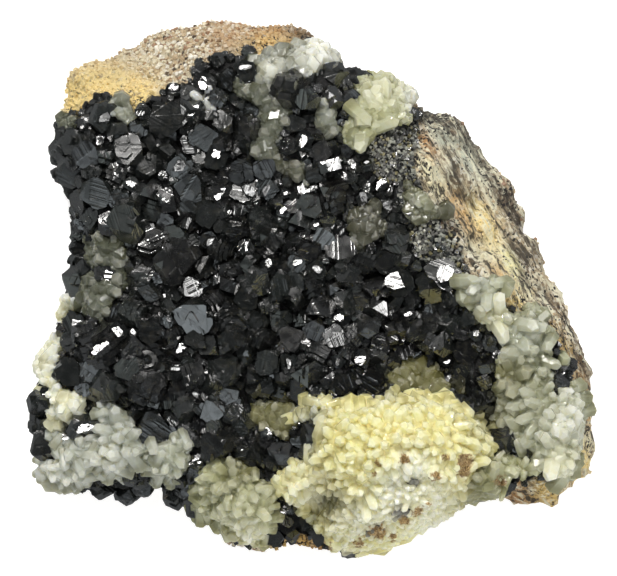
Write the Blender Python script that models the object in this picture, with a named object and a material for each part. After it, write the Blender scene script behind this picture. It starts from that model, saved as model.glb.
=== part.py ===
"""Sphalerite specimen: black sphalerite crystals and pale quartz druse on a slab of rock that lies on its flat back.

Every length below is in millimetres, and MM turns it into metres. Seen from above, X runs to the specimen's right
and Y to its top. Z is up, and z = 0 is the flat that the rock lies on, under its middle.
"""

import itertools
import math
import random

import bmesh
import bpy
import numpy as np
from mathutils import Matrix, Vector, noise

MM = 0.001

# The driving sizes of the rock
BASE_HEIGHT = 25.0
EDGE_SHARE = 0.96
FOOT_SHARE = 0.86
TOP_END = 0.62
WALL_END = 0.86
BACK_SPREAD = 0.35
ROCK_SEGMENTS = 32
ROCK_RINGS = 15
COARSE_ROUGH = 2.0
COARSE_SCALE = 8.0
FINE_ROUGH = 1.0
FINE_SCALE = 4.0

# The crusts that the crystals grow from, and the gap that parts one piece from the next
CRUST = 1.5
GAP = 0.35
CRUST_FOOT = 9.0
SKY = 60.0
FLAT_ANGLE = math.radians(0.5)

# Outline of the rock seen from above, which is read by its angle about the middle
OUTLINE = [
    (-41.3, 30.0), (-40.0, 33.3), (-39.5, 36.3), (-34.7, 38.0), (-28.0, 40.8), (-21.3, 43.5), (-15.5, 44.2),
    (-7.7, 43.3), (-3.0, 43.3), (1.2, 42.3), (6.2, 37.0), (12.8, 35.7), (19.2, 30.5), (25.0, 28.7),
    (29.5, 22.7), (33.3, 17.3), (35.7, 12.2), (36.0, 9.2), (39.7, 4.7), (42.3, -0.8), (44.7, -7.0),
    (46.8, -13.3), (47.2, -22.0), (46.3, -30.7), (41.3, -35.2), (37.8, -36.2), (30.3, -34.5), (26.7, -35.0),
    (20.0, -39.3), (12.8, -43.5), (7.8, -44.0), (-3.0, -43.5), (-11.3, -43.5), (-17.2, -38.7), (-23.8, -34.3),
    (-31.3, -33.7), (-38.8, -33.3), (-44.3, -32.8), (-45.8, -27.0), (-45.8, -18.7), (-43.8, -12.0), (-41.3, -5.3),
    (-40.3, 1.3), (-39.2, 8.0), (-40.0, 14.7), (-41.7, 20.5), (-42.2, 25.0),
]

# How the top falls to its edge: direction in degrees, width and depth of the fall, and the room left for a crust
SHOULDERS = [
    (0, 9, 10, 0.0), (25, 12, 13, 0.0), (45, 8, 11, 0.3), (62, 4, 6, 1.5), (80, 4, 6, 1.2), (95, 5, 6, 0.0),
    (115, 7, 7, 0.0), (138, 7, 8, 0.3), (155, 3, 5, 1.8), (180, 4, 5, 1.8), (205, 3, 5, 1.8), (220, 5, 7, 1.8),
    (240, 5, 7, 1.8), (262, 5, 8, 1.2), (285, 5, 8, 0.6), (305, 4, 7, 0.6), (320, 3, 6, 0.3), (340, 3, 6, 0.0),
]

# Rises and hollows of the top: place, radius and rise
RELIEF = [
    (6.5, -25.5, 8.0, 7.0), (15.0, -24.0, 8.0, 6.0), (23.0, -25.5, 6.0, 6.0),
    (16.0, -16.0, 6.0, -4.5), (22.0, -14.5, 6.0, -4.5), (20.0, -3.0, 5.0, -4.5),
    (3.5, -35.0, 4.0, -7.0), (-2.0, -37.0, 4.5, -7.0), (16.0, -35.0, 6.0, 3.0), (-12.0, -34.0, 6.0, -1.5),
    (-6.5, -21.0, 6.0, -5.0), (0.0, 32.0, 9.0, 2.0), (13.0, 30.0, 5.0, 2.5), (-36.0, 5.0, 7.0, -3.5),
    (-38.0, -3.0, 6.0, -4.0), (-32.0, -10.0, 6.0, 2.5), (-38.0, -24.0, 9.0, -5.0), (21.0, 18.0, 6.0, 2.5),
    (26.0, 9.0, 6.0, 3.5), (31.0, 1.0, 6.0, 4.0), (36.0, -6.0, 5.0, 2.5), (31.0, -22.0, 5.0, -6.0),
    (40.0, -23.0, 5.0, 2.0), (-25.0, -28.0, 6.0, -1.0), (0.0, 12.0, 14.0, 1.5),
]

# Flat breaks round the rock's underside: direction and slope below the level in degrees, distance from the middle
BREAK_CENTRE = Vector((0.0, 0.0, 12.0))
BREAKS = [
    (8, 52, 33.0), (40, 58, 25.5), (78, 50, 28.5), (112, 55, 30.5), (150, 50, 33.0), (182, 60, 29.0),
    (214, 52, 34.5), (246, 62, 26.0), (280, 50, 32.0), (318, 55, 35.0), (342, 60, 30.5),
]

# Where crystals cover the rock, and bare rock lies outside
FIELD = [
    (-50, 28.3), (-36.7, 30.7), (-35, 32.3), (-26.3, 31.7), (-23.8, 33.7), (-19.3, 33.7), (-17.7, 36.7),
    (-13.3, 38.7), (-7.7, 38), (-2.7, 38.7), (4.5, 44), (15.3, 38.8), (21, 34), (17.8, 26.3), (18.7, 17.2),
    (22, 10.5), (28.7, 0), (35.3, -4.5), (40, -7.8), (44, -16.2), (46, -25.3), (45.3, -29), (39.5, -31.3),
    (31.7, -34.3), (22, -38.5), (8, -48), (-20, -48), (-52, -40), (-50, -10),
]

# Each quartz druse: its outline, the spacing of its crystals and their radius
QUARTZ = {
    "quartz_druse_lower_centre": ([
        (-1.3, -22.7), (1.7, -19), (6.2, -20), (14, -17.7), (20.3, -18), (30.7, -23.7), (30, -27.3),
        (23.3, -38), (10.7, -45), (5, -46), (4, -41.3), (-6.7, -32.7), (-0.7, -27.3),
    ], 4.4, 2.0),
    "quartz_druse_lower_left": ([
        (-34.7, -18.3), (-30.7, -19.3), (-28, -26.3), (-20.3, -24), (-19.3, -32.7), (-22.7, -34),
        (-35.3, -32.3), (-37.3, -35), (-42, -37), (-47, -34), (-47.5, -30), (-36.3, -27.3), (-34.7, -25),
    ], 4.6, 2.1),
    "quartz_druse_left_edge": ([
        (-41.3, -7), (-41, -14), (-37.3, -17.3), (-37, -20), (-41, -25), (-43.3, -22.7), (-42, -19.3),
        (-44, -16), (-49, -15), (-49, -9), (-45, -6.5),
    ], 4.5, 2.0),
    "quartz_druse_left_middle": ([
        (-36.3, 9.3), (-32.7, 9.3), (-29.3, 7), (-29.7, -1.7), (-33.7, -5.3), (-37.7, -4.7), (-36.2, -1.3),
    ], 4.8, 2.1),
    "quartz_druse_left_rim": ([
        (-45, -1.7), (-39.3, -1.7), (-38.9, -5), (-45, -6),
    ], 4.2, 1.7),
    "quartz_druse_top": ([
        (-2.7, 38.7), (5, 44), (8.5, 41), (1.3, 35), (-6, 34), (-5.7, 30.7), (-2.7, 29.3), (-3, 26),
        (-5.3, 24.7), (-4.3, 21.3), (-1.3, 20), (-1.3, 17.3), (-9.3, 21.3), (-8.3, 29.3), (-11.7, 30.3),
        (-11.7, 33.3), (-8, 33.7), (-7.7, 37),
    ], 4.8, 2.0),
    "quartz_druse_top_right": ([
        (10, 39.5), (14.7, 39), (21.5, 34), (19.7, 30.3), (16, 29.3), (10.7, 23), (6.3, 25.3), (9, 28.3),
    ], 4.5, 2.1),
    "quartz_druse_right": ([
        (28.3, -1.3), (32.8, -2), (41.3, -10.7), (40, -14), (40.7, -17.8), (44.3, -18.7), (46, -22),
        (45.5, -29.3), (40, -31), (37, -24), (29.7, -20.7), (34, -18), (31.7, -15.3), (33.3, -7), (30, -7),
        (27.7, -3),
    ], 4.6, 2.1),
    "quartz_druse_lower_right": ([
        (30.7, -29), (38.3, -29), (39.7, -31.7), (32, -34.3), (28.7, -37.5), (25.4, -36.3),
    ], 4.4, 2.0),
    "quartz_druse_lower_middle": ([
        (-17.3, -30.3), (-14.3, -28.7), (-9.7, -30), (-5, -35.3), (-7.3, -39.3), (-4.7, -42), (-7.3, -45),
        (-12, -47), (-16.5, -43.7), (-18.7, -39.3),
    ], 4.5, 2.1),
    "quartz_druse_hollow": ([
        (-9.7, -19.3), (-1.3, -18.7), (-2.2, -26), (-10.7, -21.7),
    ], 4.8, 1.9),
    "quartz_druse_above_centre": ([
        (14, -17), (12.7, -15.3), (15.3, -12.3), (20.3, -10.7), (24.7, -19),
    ], 4.5, 1.9),
    "quartz_druse_middle": ([
        (7, 15.3), (12, 18), (15, 15.3), (14, 8.7), (8.7, 7), (6, 11),
    ], 4.8, 1.9),
}

# Which way a crystal's main face looks: lean from the vertical and direction of the lean, in degrees
FACINGS = {"bright": (21, 110), "silver": (25, 20), "slate": (17, 250), "black": (4, 180)}

# Sphalerite that stands apart in the quartz or at the rim: outline, foot height and crystals
SPHALERITE_APART = {
    "sphalerite_lower_left_edge": ([
        (-49, -16.7), (-44, -16.7), (-42.3, -19.3), (-43.7, -22.7), (-41.3, -25.4), (-40.7, -28),
        (-44, -29), (-49, -29.7), (-50, -22),
    ], [
        (-43.9, -19, 3.0, "block", "bright"), (-44.6, -23.2, 2.6, "plate", "slate"),
        (-43.3, -26.5, 3.1, "block", "black"),
    ]),
    "sphalerite_lower_left": (None, [(-37.3, -23.4, 2.9, "block", "bright")]),
    "sphalerite_left_middle": (None, [(-33.3, 2.2, 2.1, "block", "bright")]),
    "sphalerite_bottom_left": ([
        (-36.7, -32.6), (-31.5, -34), (-29.7, -32.7), (-26, -33), (-24.7, -37), (-31.3, -38), (-38, -37),
    ], [
        (-34.7, -33.8, 2.1, "block", "black"), (-30.7, -34.2, 2.2, "block", "slate"),
        (-27.5, -33.5, 1.9, "block", "black"),
    ]),
    "sphalerite_cavity": ([
        (-6.7, -37.7), (0.3, -37), (1.3, -40.3), (2.7, -41.7), (-1.3, -41), (-5, -42), (-7, -39.7),
    ], [
        (-3.8, -39, 2.4, "wedge", "silver"), (-0.8, -38.8, 2.2, "block", "black"),
    ]),
    "sphalerite_cushion_rim": (None, [(0.4, -24.3, 1.9, "block", "black")]),
    "sphalerite_right_rim": (None, [(41.6, -14.8, 2.0, "block", "black")]),
    "sphalerite_lower_right": (None, [(33.2, -25.6, 2.6, "block", "black")]),
}

# The main sphalerite crystals that the photograph shows: place, radius, form and facing
SPHALERITE_MAIN = [
    # Left edge and upper left
    (-41.8, 23.0, 2.3, "block", "black"), (-36.7, 22.3, 2.7, "plate", "slate"), (-33.8, 28.5, 2.5, "block", "silver"),
    (-29.5, 22.7, 3.0, "wedge", "black"), (-34.8, 15.8, 3.2, "plate", "slate"), (-30.0, 11.0, 3.6, "plate", "black"),
    (-20.2, 10.3, 3.0, "plate", "black"), (-21.7, 4.3, 4.0, "plate", "black"), (-37.7, 6.0, 2.4, "block", "slate"),
    (-38.3, 0.7, 3.2, "block", "black"), (-23.0, 28.0, 3.3, "wedge", "black"), (-19.2, 29.3, 2.4, "block", "bright"),
    (-15.0, 15.3, 2.4, "block", "bright"), (-17.0, 25.3, 2.7, "wedge", "black"), (-26.2, 20.3, 2.5, "block", "black"),
    (-19.3, 16.5, 3.0, "plate", "black"), (-12.0, 10.0, 2.5, "block", "black"),
    # Lower left
    (-38.8, -6.3, 2.5, "plate", "bright"), (-34.3, -9.7, 4.0, "wedge", "bright"), (-39.7, -14.2, 2.7, "plate", "black"),
    (-33.0, -16.0, 3.0, "plate", "slate"), (-27.0, -16.2, 3.2, "plate", "slate"), (-19.0, -4.7, 3.7, "plate", "slate"),
    (-15.8, -26.3, 3.2, "block", "black"), (-25.5, -23.3, 3.3, "plate", "black"), (-26.3, -7.0, 2.5, "wedge", "black"),
    (-29.5, -12.7, 2.5, "wedge", "black"), (-11.2, -22.7, 2.3, "plate", "slate"), (-22.2, -34.9, 2.3, "block", "black"),
    # Top
    (-17.0, 34.0, 2.3, "wedge", "bright"), (-3.0, 33.0, 3.0, "block", "black"), (4.3, 35.0, 2.5, "block", "black"),
    (-10.6, 26.4, 2.5, "plate", "slate"), (-10.4, 16.0, 2.5, "wedge", "silver"), (-13.8, 27.7, 2.3, "block", "black"),
    # Middle
    (15.0, 1.2, 2.8, "plate", "bright"), (22.5, 2.5, 2.4, "plate", "bright"), (-4.7, 0.3, 2.7, "plate", "slate"),
    (6.2, -16.0, 2.8, "block", "black"), (10.2, -15.7, 2.7, "block", "slate"), (-4.5, -27.5, 2.3, "block", "black"),
    # Lower right
    (26.3, -10.5, 2.7, "plate", "black"), (17.8, -7.3, 2.3, "plate", "slate"), (20.3, -3.3, 2.5, "block", "black"),
    (23.7, -6.3, 2.5, "block", "black"), (14.0, -7.5, 2.5, "block", "black"),
]

SPHALERITE_FILL_SPACING = 7.0
SPHALERITE_FILL_RADIUS = (2.3, 3.0)
SPHALERITE_LIFT = 0.35
SPHALERITE_SEED = 41
QUARTZ_SEED = 7
QUARTZ_LENGTH = 0.9

# Colour, roughness and metallic value of each mineral
MINERALS = {
    "rock": ((0.50, 0.38, 0.22), 0.9, 0.0),
    "sphalerite": ((0.02, 0.02, 0.023), 0.15, 0.3),
    "quartz": ((0.72, 0.71, 0.58), 0.3, 0.0),
}


def clear_scene():
    for old in list(bpy.data.objects):
        bpy.data.objects.remove(old)


def outline_reach(angle):
    """Distance from the middle to the outline in a direction, less the room for a crust."""
    degrees = math.degrees(angle) % 360
    known = sorted((math.degrees(math.atan2(y, x)) % 360, math.hypot(x, y)) for x, y in OUTLINE)
    reach = np.interp(degrees, [k[0] for k in known], [k[1] for k in known], period=360)
    return reach - shoulder(degrees)[2]


def shoulder(degrees):
    """Width and depth of the fall to the edge, and the room for a crust, in a direction."""
    directions = [row[0] for row in SHOULDERS]
    return tuple(np.interp(degrees, directions, [row[n] for row in SHOULDERS], period=360) for n in (1, 2, 3))


def rough(point):
    coarse = noise.noise(point / COARSE_SCALE) * COARSE_ROUGH
    return coarse + noise.noise(point / FINE_SCALE) * FINE_ROUGH


def top_height(x, y):
    """Height of the rock's top at a place inside its outline."""
    angle = math.atan2(y, x)
    reach = outline_reach(angle)
    width, depth, _ = shoulder(math.degrees(angle) % 360)
    rise = sum(up * math.exp(-((x - cx) ** 2 + (y - cy) ** 2) / radius**2) for cx, cy, radius, up in RELIEF)
    inwards = reach * EDGE_SHARE - math.hypot(x, y)
    fall = min(1.0, max(0.0, 1 - inwards / width))
    return BASE_HEIGHT + rise - depth * fall + rough(Vector((x, y, BASE_HEIGHT)))


def broken(place):
    """Moves a point that stands outside a flat break onto it."""
    for toward, slope, distance in BREAKS:
        level = math.cos(math.radians(slope))
        normal = Vector((math.cos(math.radians(toward)) * level, math.sin(math.radians(toward)) * level,
                         -math.sin(math.radians(slope))))
        over = (place - BREAK_CENTRE).dot(normal) - distance
        if over > 0:
            place = place - normal * over
    return place


def rock_point(angle, way, grow=0.0):
    """A point of the rock's surface: way runs from the top's middle at 0, over the edge, to the back's middle at 1."""
    reach = outline_reach(angle)
    out = Vector((math.cos(angle), math.sin(angle), 0))
    if way <= TOP_END:
        place = out * (reach * EDGE_SHARE * way / TOP_END)
        place.z = top_height(place.x, place.y) + grow
        return place + out * grow * (way / TOP_END) ** 4
    if way <= WALL_END:
        down = (way - TOP_END) / (WALL_END - TOP_END)
        edge = out * (reach * EDGE_SHARE)
        height = top_height(edge.x, edge.y)
        bulge = 1 - (EDGE_SHARE + FOOT_SHARE) / 2
        share = EDGE_SHARE + (FOOT_SHARE - EDGE_SHARE) * down + bulge * math.sin(math.pi * down)
        place = out * (reach * share)
        place.z = height * (1 - down)
        dent = rough(place + Vector((0, 0, 50))) * math.sin(math.pi * down)
        place = broken(place + out * dent)
        return place + out * grow + Vector((0, 0, grow * (1 - down)))
    share = ((1 - way) / (1 - WALL_END)) ** BACK_SPREAD
    return broken(out * (reach * FOOT_SHARE * share)) + out * grow * share


def surface_height(x, y):
    """Height of the rock at a place, also for one over its side or just outside it."""
    reach = outline_reach(math.atan2(y, x)) * EDGE_SHARE
    away = math.hypot(x, y)
    if away <= reach:
        return top_height(x, y)
    height = top_height(x * reach / away, y * reach / away)
    return height - min(1.0, (away - reach) / (2 * CRUST)) * 0.3 * height


def over_rock(x, y):
    return math.hypot(x, y) < outline_reach(math.atan2(y, x)) + CRUST / 2


def mesh_object(name, mesh, collection):
    made = bpy.data.objects.new(name, mesh)
    collection.objects.link(made)
    return made


def finished_mesh(name, shape):
    """Turns a closed bmesh into a mesh of outward triangles and frees it."""
    bmesh.ops.triangulate(shape, faces=shape.faces)
    bmesh.ops.recalc_face_normals(shape, faces=shape.faces)
    mesh = bpy.data.meshes.new(name)
    shape.to_mesh(mesh)
    shape.free()
    return mesh


def rock_form(name, collection, grow=0.0):
    """The rock, or the same form grown all round for a crust or a clearance."""
    shape = bmesh.new()
    bmesh.ops.create_uvsphere(shape, u_segments=ROCK_SEGMENTS, v_segments=ROCK_RINGS, radius=1)
    for vertex in shape.verts:
        angle = math.atan2(vertex.co.y, vertex.co.x)
        way = math.acos(max(-1.0, min(1.0, vertex.co.z))) / math.pi
        vertex.co = rock_point(angle, way, grow) * MM
    return mesh_object(name, finished_mesh(name, shape), collection)


def convex_form(planes, front):
    """A convex crystal form from its planes, given as (direction, distance), turned so that front points up."""
    normals = np.array([Vector(direction).normalized() for direction, _ in planes])
    distances = np.array([distance for _, distance in planes])
    corners = {}
    for trio in itertools.combinations(range(len(planes)), 3):
        three = normals[list(trio)]
        if abs(np.linalg.det(three)) < 1e-6:
            continue
        corner = np.linalg.solve(three, distances[list(trio)])
        if np.all(normals @ corner <= distances + 1e-6):
            corners[tuple(np.round(corner, 4))] = corner
    form = bmesh.new()
    for corner in corners.values():
        form.verts.new(corner)
    bmesh.ops.convex_hull(form, input=form.verts)
    turn = Vector(front).rotation_difference(Vector((0, 0, 1))).to_matrix().to_4x4()
    bmesh.ops.transform(form, matrix=turn, verts=form.verts)
    return finished_mesh("form", form)


def sphalerite_forms():
    """Sphalerite's habits at unit size: the rhombic block, the blunt tetrahedron and the flat twin plate."""
    rhombic = [(a, b, 0) for a in (1, -1) for b in (1, -1)]
    rhombic += [(a, 0, b) for a in (1, -1) for b in (1, -1)]
    rhombic += [(0, a, b) for a in (1, -1) for b in (1, -1)]
    tetrahedral = [(1, 1, 1), (1, -1, -1), (-1, 1, -1), (-1, -1, 1)]
    opposite = [(-a, -b, -c) for a, b, c in tetrahedral]
    block = [(way, 0.9) for way in rhombic]
    wedge = [(way, 0.62) for way in tetrahedral] + [(way, 1.02) for way in opposite]
    ring = [(1, -1, 0), (0, 1, -1), (-1, 0, 1), (-1, 1, 0), (0, -1, 1), (1, 0, -1)]
    plate = [((1, 1, 1), 0.62), ((-1, -1, -1), 0.62)] + [(way, 0.92) for way in ring]
    return {
        "block": convex_form(block, (1, 1, 0)),
        "wedge": convex_form(wedge, (1, 1, 1)),
        "plate": convex_form(plate, (1, 1, 1)),
    }


def quartz_form():
    """A quartz crystal at unit radius: a six-sided prism that ends in a six-sided point."""
    form = bmesh.new()
    bmesh.ops.create_cone(form, cap_ends=True, segments=6, radius1=1, radius2=0.9, depth=2.4)
    top = [face for face in form.faces if face.normal.z > 0.9]
    point = bmesh.ops.poke(form, faces=top)["verts"][0]
    point.co.z += 1.1
    return finished_mesh("quartz_form", form)


def aim(lean, toward, turn):
    """Rotation that takes +Z to the direction with this lean from the vertical, after a turn about +Z, in degrees."""
    heading = math.radians(toward)
    axis = Vector((-math.sin(heading), math.cos(heading), 0))
    tilt = Matrix.Rotation(math.radians(lean), 4, axis)
    return tilt @ Matrix.Rotation(math.radians(turn), 4, "Z")


def inside(outline, x, y):
    """Whether a place is inside an outline, by counting the edges to its right."""
    found = False
    for (x1, y1), (x2, y2) in zip(outline, outline[1:] + outline[:1]):
        if (y1 > y) != (y2 > y) and x < (x2 - x1) * (y - y1) / (y2 - y1) + x1:
            found = not found
    return found


def scatter(outline, spacing, taken, dice, tries=900):
    """Places inside an outline that keep their spacing from each other and from those already taken."""
    low_x, high_x = min(p[0] for p in outline), max(p[0] for p in outline)
    low_y, high_y = min(p[1] for p in outline), max(p[1] for p in outline)
    places = []
    for _ in range(tries):
        x, y = dice.uniform(low_x, high_x), dice.uniform(low_y, high_y)
        if not inside(outline, x, y):
            continue
        if all(math.hypot(x - px, y - py) > spacing for px, py in places + taken):
            places.append((x, y))
    return places


def grown_outline(outline, grow):
    """The outline moved out by a distance, corner by corner."""
    area = sum(x1 * y2 - x2 * y1 for (x1, y1), (x2, y2) in zip(outline, outline[1:] + outline[:1]))
    side = 1 if area > 0 else -1
    moved = []
    for before, here, after in zip(outline[-1:] + outline[:-1], outline, outline[1:] + outline[:1]):
        arrive = (Vector(here) - Vector(before)).normalized()
        leave = (Vector(after) - Vector(here)).normalized()
        normal = Vector((arrive.y + leave.y, -arrive.x - leave.x)) * side
        corner = max(0.4, normal.length / 2)
        moved.append(tuple(Vector(here) + normal.normalized() * grow / corner))
    return moved


def boxes_meet(first, second):
    """Whether the boxes round two outlines overlap."""
    return all(
        max(min(p[n] for p in first), min(p[n] for p in second))
        < min(max(p[n] for p in first), max(p[n] for p in second))
        for n in (0, 1)
    )


def prism(name, outline, low, high, collection):
    """An upright prism over an outline, as a filled flat curve with a thickness, made a mesh."""
    flat = bpy.data.curves.new(name, "CURVE")
    flat.dimensions = "2D"
    flat.fill_mode = "BOTH"
    flat.extrude = (high - low) / 2 * MM
    line = flat.splines.new("POLY")
    line.points.add(len(outline) - 1)
    for point, (x, y) in zip(line.points, outline):
        point.co = (x * MM, y * MM, 0, 1)
    line.use_cyclic_u = True
    guide = bpy.data.objects.new(name + "_curve", flat)
    collection.objects.link(guide)
    guide.location.z = (low + high) / 2 * MM
    bpy.context.view_layer.update()
    mesh = bpy.data.meshes.new_from_object(guide.evaluated_get(bpy.context.evaluated_depsgraph_get()))
    mesh.transform(guide.matrix_world)
    bpy.data.objects.remove(guide)
    shape = bmesh.new()
    shape.from_mesh(mesh)
    bmesh.ops.remove_doubles(shape, verts=shape.verts, dist=0.00001)
    return mesh_object(name, finished_mesh(name, shape), collection)


def boolean(target, operation, operand):
    """Adds a Boolean modifier whose operand is an object or a collection."""
    modifier = target.modifiers.new(operation.lower(), "BOOLEAN")
    modifier.operation = operation
    modifier.solver = "EXACT"
    if isinstance(operand, bpy.types.Collection):
        modifier.operand_type = "COLLECTION"
        modifier.collection = operand
    else:
        modifier.object = operand


def largest_body(mesh):
    """Keeps the largest connected body of a mesh, without cut-off chips, and joins what is flat."""
    shape = bmesh.new()
    shape.from_mesh(mesh)
    bmesh.ops.remove_doubles(shape, verts=shape.verts, dist=0.000002)
    waiting = set(shape.faces)
    bodies = []
    while waiting:
        body = [waiting.pop()]
        for face in body:
            for edge in face.edges:
                for other in edge.link_faces:
                    if other in waiting:
                        waiting.remove(other)
                        body.append(other)
        bodies.append(body)
    bodies.sort(key=lambda body: -sum(face.calc_area() for face in body))
    chips = [face for body in bodies[1:] for face in body]
    bmesh.ops.delete(shape, geom=chips, context="FACES")
    bmesh.ops.dissolve_limit(shape, angle_limit=FLAT_ANGLE, verts=shape.verts, edges=shape.edges)
    bmesh.ops.triangulate(shape, faces=shape.faces)
    shape.to_mesh(mesh)
    shape.free()


def settle(target, collection, material):
    """Replaces an object and its modifiers by the mesh that they make."""
    bpy.context.view_layer.update()
    mesh = bpy.data.meshes.new_from_object(target.evaluated_get(bpy.context.evaluated_depsgraph_get()))
    largest_body(mesh)
    mesh.materials.clear()
    mesh.materials.append(material)
    name = target.name
    bpy.data.objects.remove(target)
    mesh.name = name
    return mesh_object(name, mesh, collection)


def mineral_material(name):
    colour, roughness, metallic = MINERALS[name]
    material = bpy.data.materials.new(name)
    material.use_nodes = True
    shader = material.node_tree.nodes["Principled BSDF"]
    shader.inputs["Base Color"].default_value = (*colour, 1)
    shader.inputs["Roughness"].default_value = roughness
    shader.inputs["Metallic"].default_value = metallic
    return material


class Specimen:
    """The rock and the crusts on it. Each crust keeps clear of the rock and of those made before it."""

    def __init__(self):
        self.pieces = bpy.data.collections.new("sphalerite_specimen")
        self.cutters = bpy.data.collections.new("cutters")
        bpy.context.scene.collection.children.link(self.pieces)
        bpy.context.scene.collection.children.link(self.cutters)
        self.cutters.hide_render = True
        self.materials = {name: mineral_material(name) for name in MINERALS}
        self.sphalerite = sphalerite_forms()
        self.quartz = quartz_form()
        self.rock = rock_form("matrix_rock", self.pieces)
        self.rock.data.materials.append(self.materials["rock"])
        self.clearance = rock_form("clearance", self.cutters, GAP)
        self.taken = []

    def crystals(self, name, placed):
        """A helper collection of crystals: (mesh, place, size, rotation) for each."""
        group = bpy.data.collections.new(name + "_crystals")
        self.cutters.children.link(group)
        for number, (mesh, place, size, rotation) in enumerate(placed):
            crystal = mesh_object(f"{name}_crystal_{number}", mesh.copy(), group)
            crystal.data.transform(rotation @ Matrix.Diagonal((*(Vector(size) * MM), 1)))
            crystal.data.transform(Matrix.Translation(Vector(place) * MM))
        return group

    def crust(self, name, outline, placed, mineral):
        """A crust over an outline with crystals grown from it, cut clear of its neighbours."""
        crust = rock_form(name, self.cutters, CRUST + GAP)
        boolean(crust, "UNION", self.crystals(name, placed))
        boolean(crust, "INTERSECT", prism(name + "_bounds", outline, CRUST_FOOT, SKY, self.cutters))
        boolean(crust, "DIFFERENCE", self.clearance)
        for taken_outline, room in self.taken:
            if boxes_meet(outline, taken_outline):
                boolean(crust, "DIFFERENCE", room)
        piece = settle(crust, self.pieces, self.materials[mineral])
        wider = grown_outline(outline, GAP)
        self.taken.append((wider, prism(name + "_room", wider, -SKY, 2 * SKY, self.cutters)))
        return piece

    def sphalerite_crystal(self, x, y, radius, form, rotation):
        place = (x, y, surface_height(x, y) + CRUST * 0.5 + SPHALERITE_LIFT * radius)
        return (self.sphalerite[form], place, (radius,) * 3, rotation)

    def quartz_crystal(self, x, y, radius, middle, dice):
        """A quartz crystal that leans away from its druse's middle."""
        away = Vector((x - middle[0], y - middle[1]))
        lean = min(38, 3.2 * away.length) + dice.uniform(-14, 14)
        toward = math.degrees(math.atan2(away.y, away.x)) + dice.uniform(-40, 40)
        size = radius * dice.uniform(0.8, 1.2)
        place = (x, y, surface_height(x, y) + CRUST * 0.6)
        return (self.quartz, place, (size, size, size * QUARTZ_LENGTH), aim(lean, toward, dice.uniform(0, 60)))

    def make_sphalerite_apart(self):
        dice = random.Random(SPHALERITE_SEED)
        for name, (outline, crystals) in SPHALERITE_APART.items():
            if outline is None:
                x, y, radius = crystals[0][:3]
                corners = [math.radians(n * 60) for n in range(6)]
                outline = [(x + radius * math.cos(a), y + radius * math.sin(a)) for a in corners]
            placed = [
                self.sphalerite_crystal(x, y, radius, form, aim(*FACINGS[facing], dice.uniform(0, 360)))
                for x, y, radius, form, facing in crystals
            ]
            self.crust(name, outline, placed, "sphalerite")

    def make_quartz(self):
        dice = random.Random(QUARTZ_SEED)
        for name, (outline, spacing, radius) in QUARTZ.items():
            middle = tuple(sum(p[n] for p in outline) / len(outline) for n in (0, 1))
            places = scatter(grown_outline(outline, -0.7), spacing, [], dice)
            placed = [self.quartz_crystal(x, y, radius, middle, dice) for x, y in places if over_rock(x, y)]
            self.crust(name, outline, placed, "quartz")

    def make_sphalerite_field(self):
        dice = random.Random(SPHALERITE_SEED + 1)
        placed = [
            self.sphalerite_crystal(x, y, radius, form, aim(*FACINGS[facing], dice.uniform(0, 360)))
            for x, y, radius, form, facing in SPHALERITE_MAIN
        ]
        covered = [(x, y) for x, y, *_ in SPHALERITE_MAIN]
        druses = [outline for outline, _, _ in QUARTZ.values()]
        for x, y in scatter(FIELD, SPHALERITE_FILL_SPACING, covered, dice, 3000):
            if any(inside(outline, x, y) for outline in druses) or not over_rock(x, y):
                continue
            form = dice.choice(["block", "wedge", "plate"])
            turn = aim(dice.uniform(0, 70), dice.uniform(0, 360), dice.uniform(0, 360))
            placed.append(self.sphalerite_crystal(x, y, dice.uniform(*SPHALERITE_FILL_RADIUS), form, turn))
        self.crust("sphalerite_field", FIELD, placed, "sphalerite")

    def hide_cutters(self):
        for cutter in self.cutters.all_objects:
            cutter.hide_render = True
            cutter.display_type = "WIRE"


def main():
    clear_scene()
    specimen = Specimen()
    specimen.make_sphalerite_apart()
    specimen.make_quartz()
    specimen.make_sphalerite_field()
    specimen.hide_cutters()


main()
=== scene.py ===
"""Looks of the sphalerite specimen: tan rock, black sphalerite crystals and pale quartz druses.

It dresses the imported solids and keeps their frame. Lengths are in millimetres, and MM turns them into metres.
Seen from above, X runs to the specimen's right and Y to its top. Z is up from the flat that the rock lies on.
"""

import itertools
import math
import random

import bpy
import numpy as np
from mathutils import Matrix, Vector, noise
from mathutils.bvhtree import BVHTree


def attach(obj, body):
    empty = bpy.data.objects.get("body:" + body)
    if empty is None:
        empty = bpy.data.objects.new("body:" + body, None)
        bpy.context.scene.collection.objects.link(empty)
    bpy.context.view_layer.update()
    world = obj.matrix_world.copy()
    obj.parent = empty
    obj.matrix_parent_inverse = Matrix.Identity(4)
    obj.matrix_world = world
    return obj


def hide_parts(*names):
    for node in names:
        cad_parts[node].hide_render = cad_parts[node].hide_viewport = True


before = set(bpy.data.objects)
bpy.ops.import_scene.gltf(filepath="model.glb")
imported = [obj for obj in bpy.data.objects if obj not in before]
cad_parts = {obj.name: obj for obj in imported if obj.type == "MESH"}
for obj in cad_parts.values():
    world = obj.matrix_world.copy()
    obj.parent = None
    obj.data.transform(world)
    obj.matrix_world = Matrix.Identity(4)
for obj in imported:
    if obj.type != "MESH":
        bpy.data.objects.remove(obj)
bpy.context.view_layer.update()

MM = 0.001

# The rock's driving sizes, as in the part's source
BASE_HEIGHT = 25.0
EDGE_SHARE = 0.96
FOOT_SHARE = 0.86
TOP_END = 0.62
WALL_END = 0.86
BACK_SPREAD = 0.35
COARSE_ROUGH = 2.0
COARSE_SCALE = 8.0
FINE_ROUGH = 1.0
FINE_SCALE = 4.0
CRUST = 1.5

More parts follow.
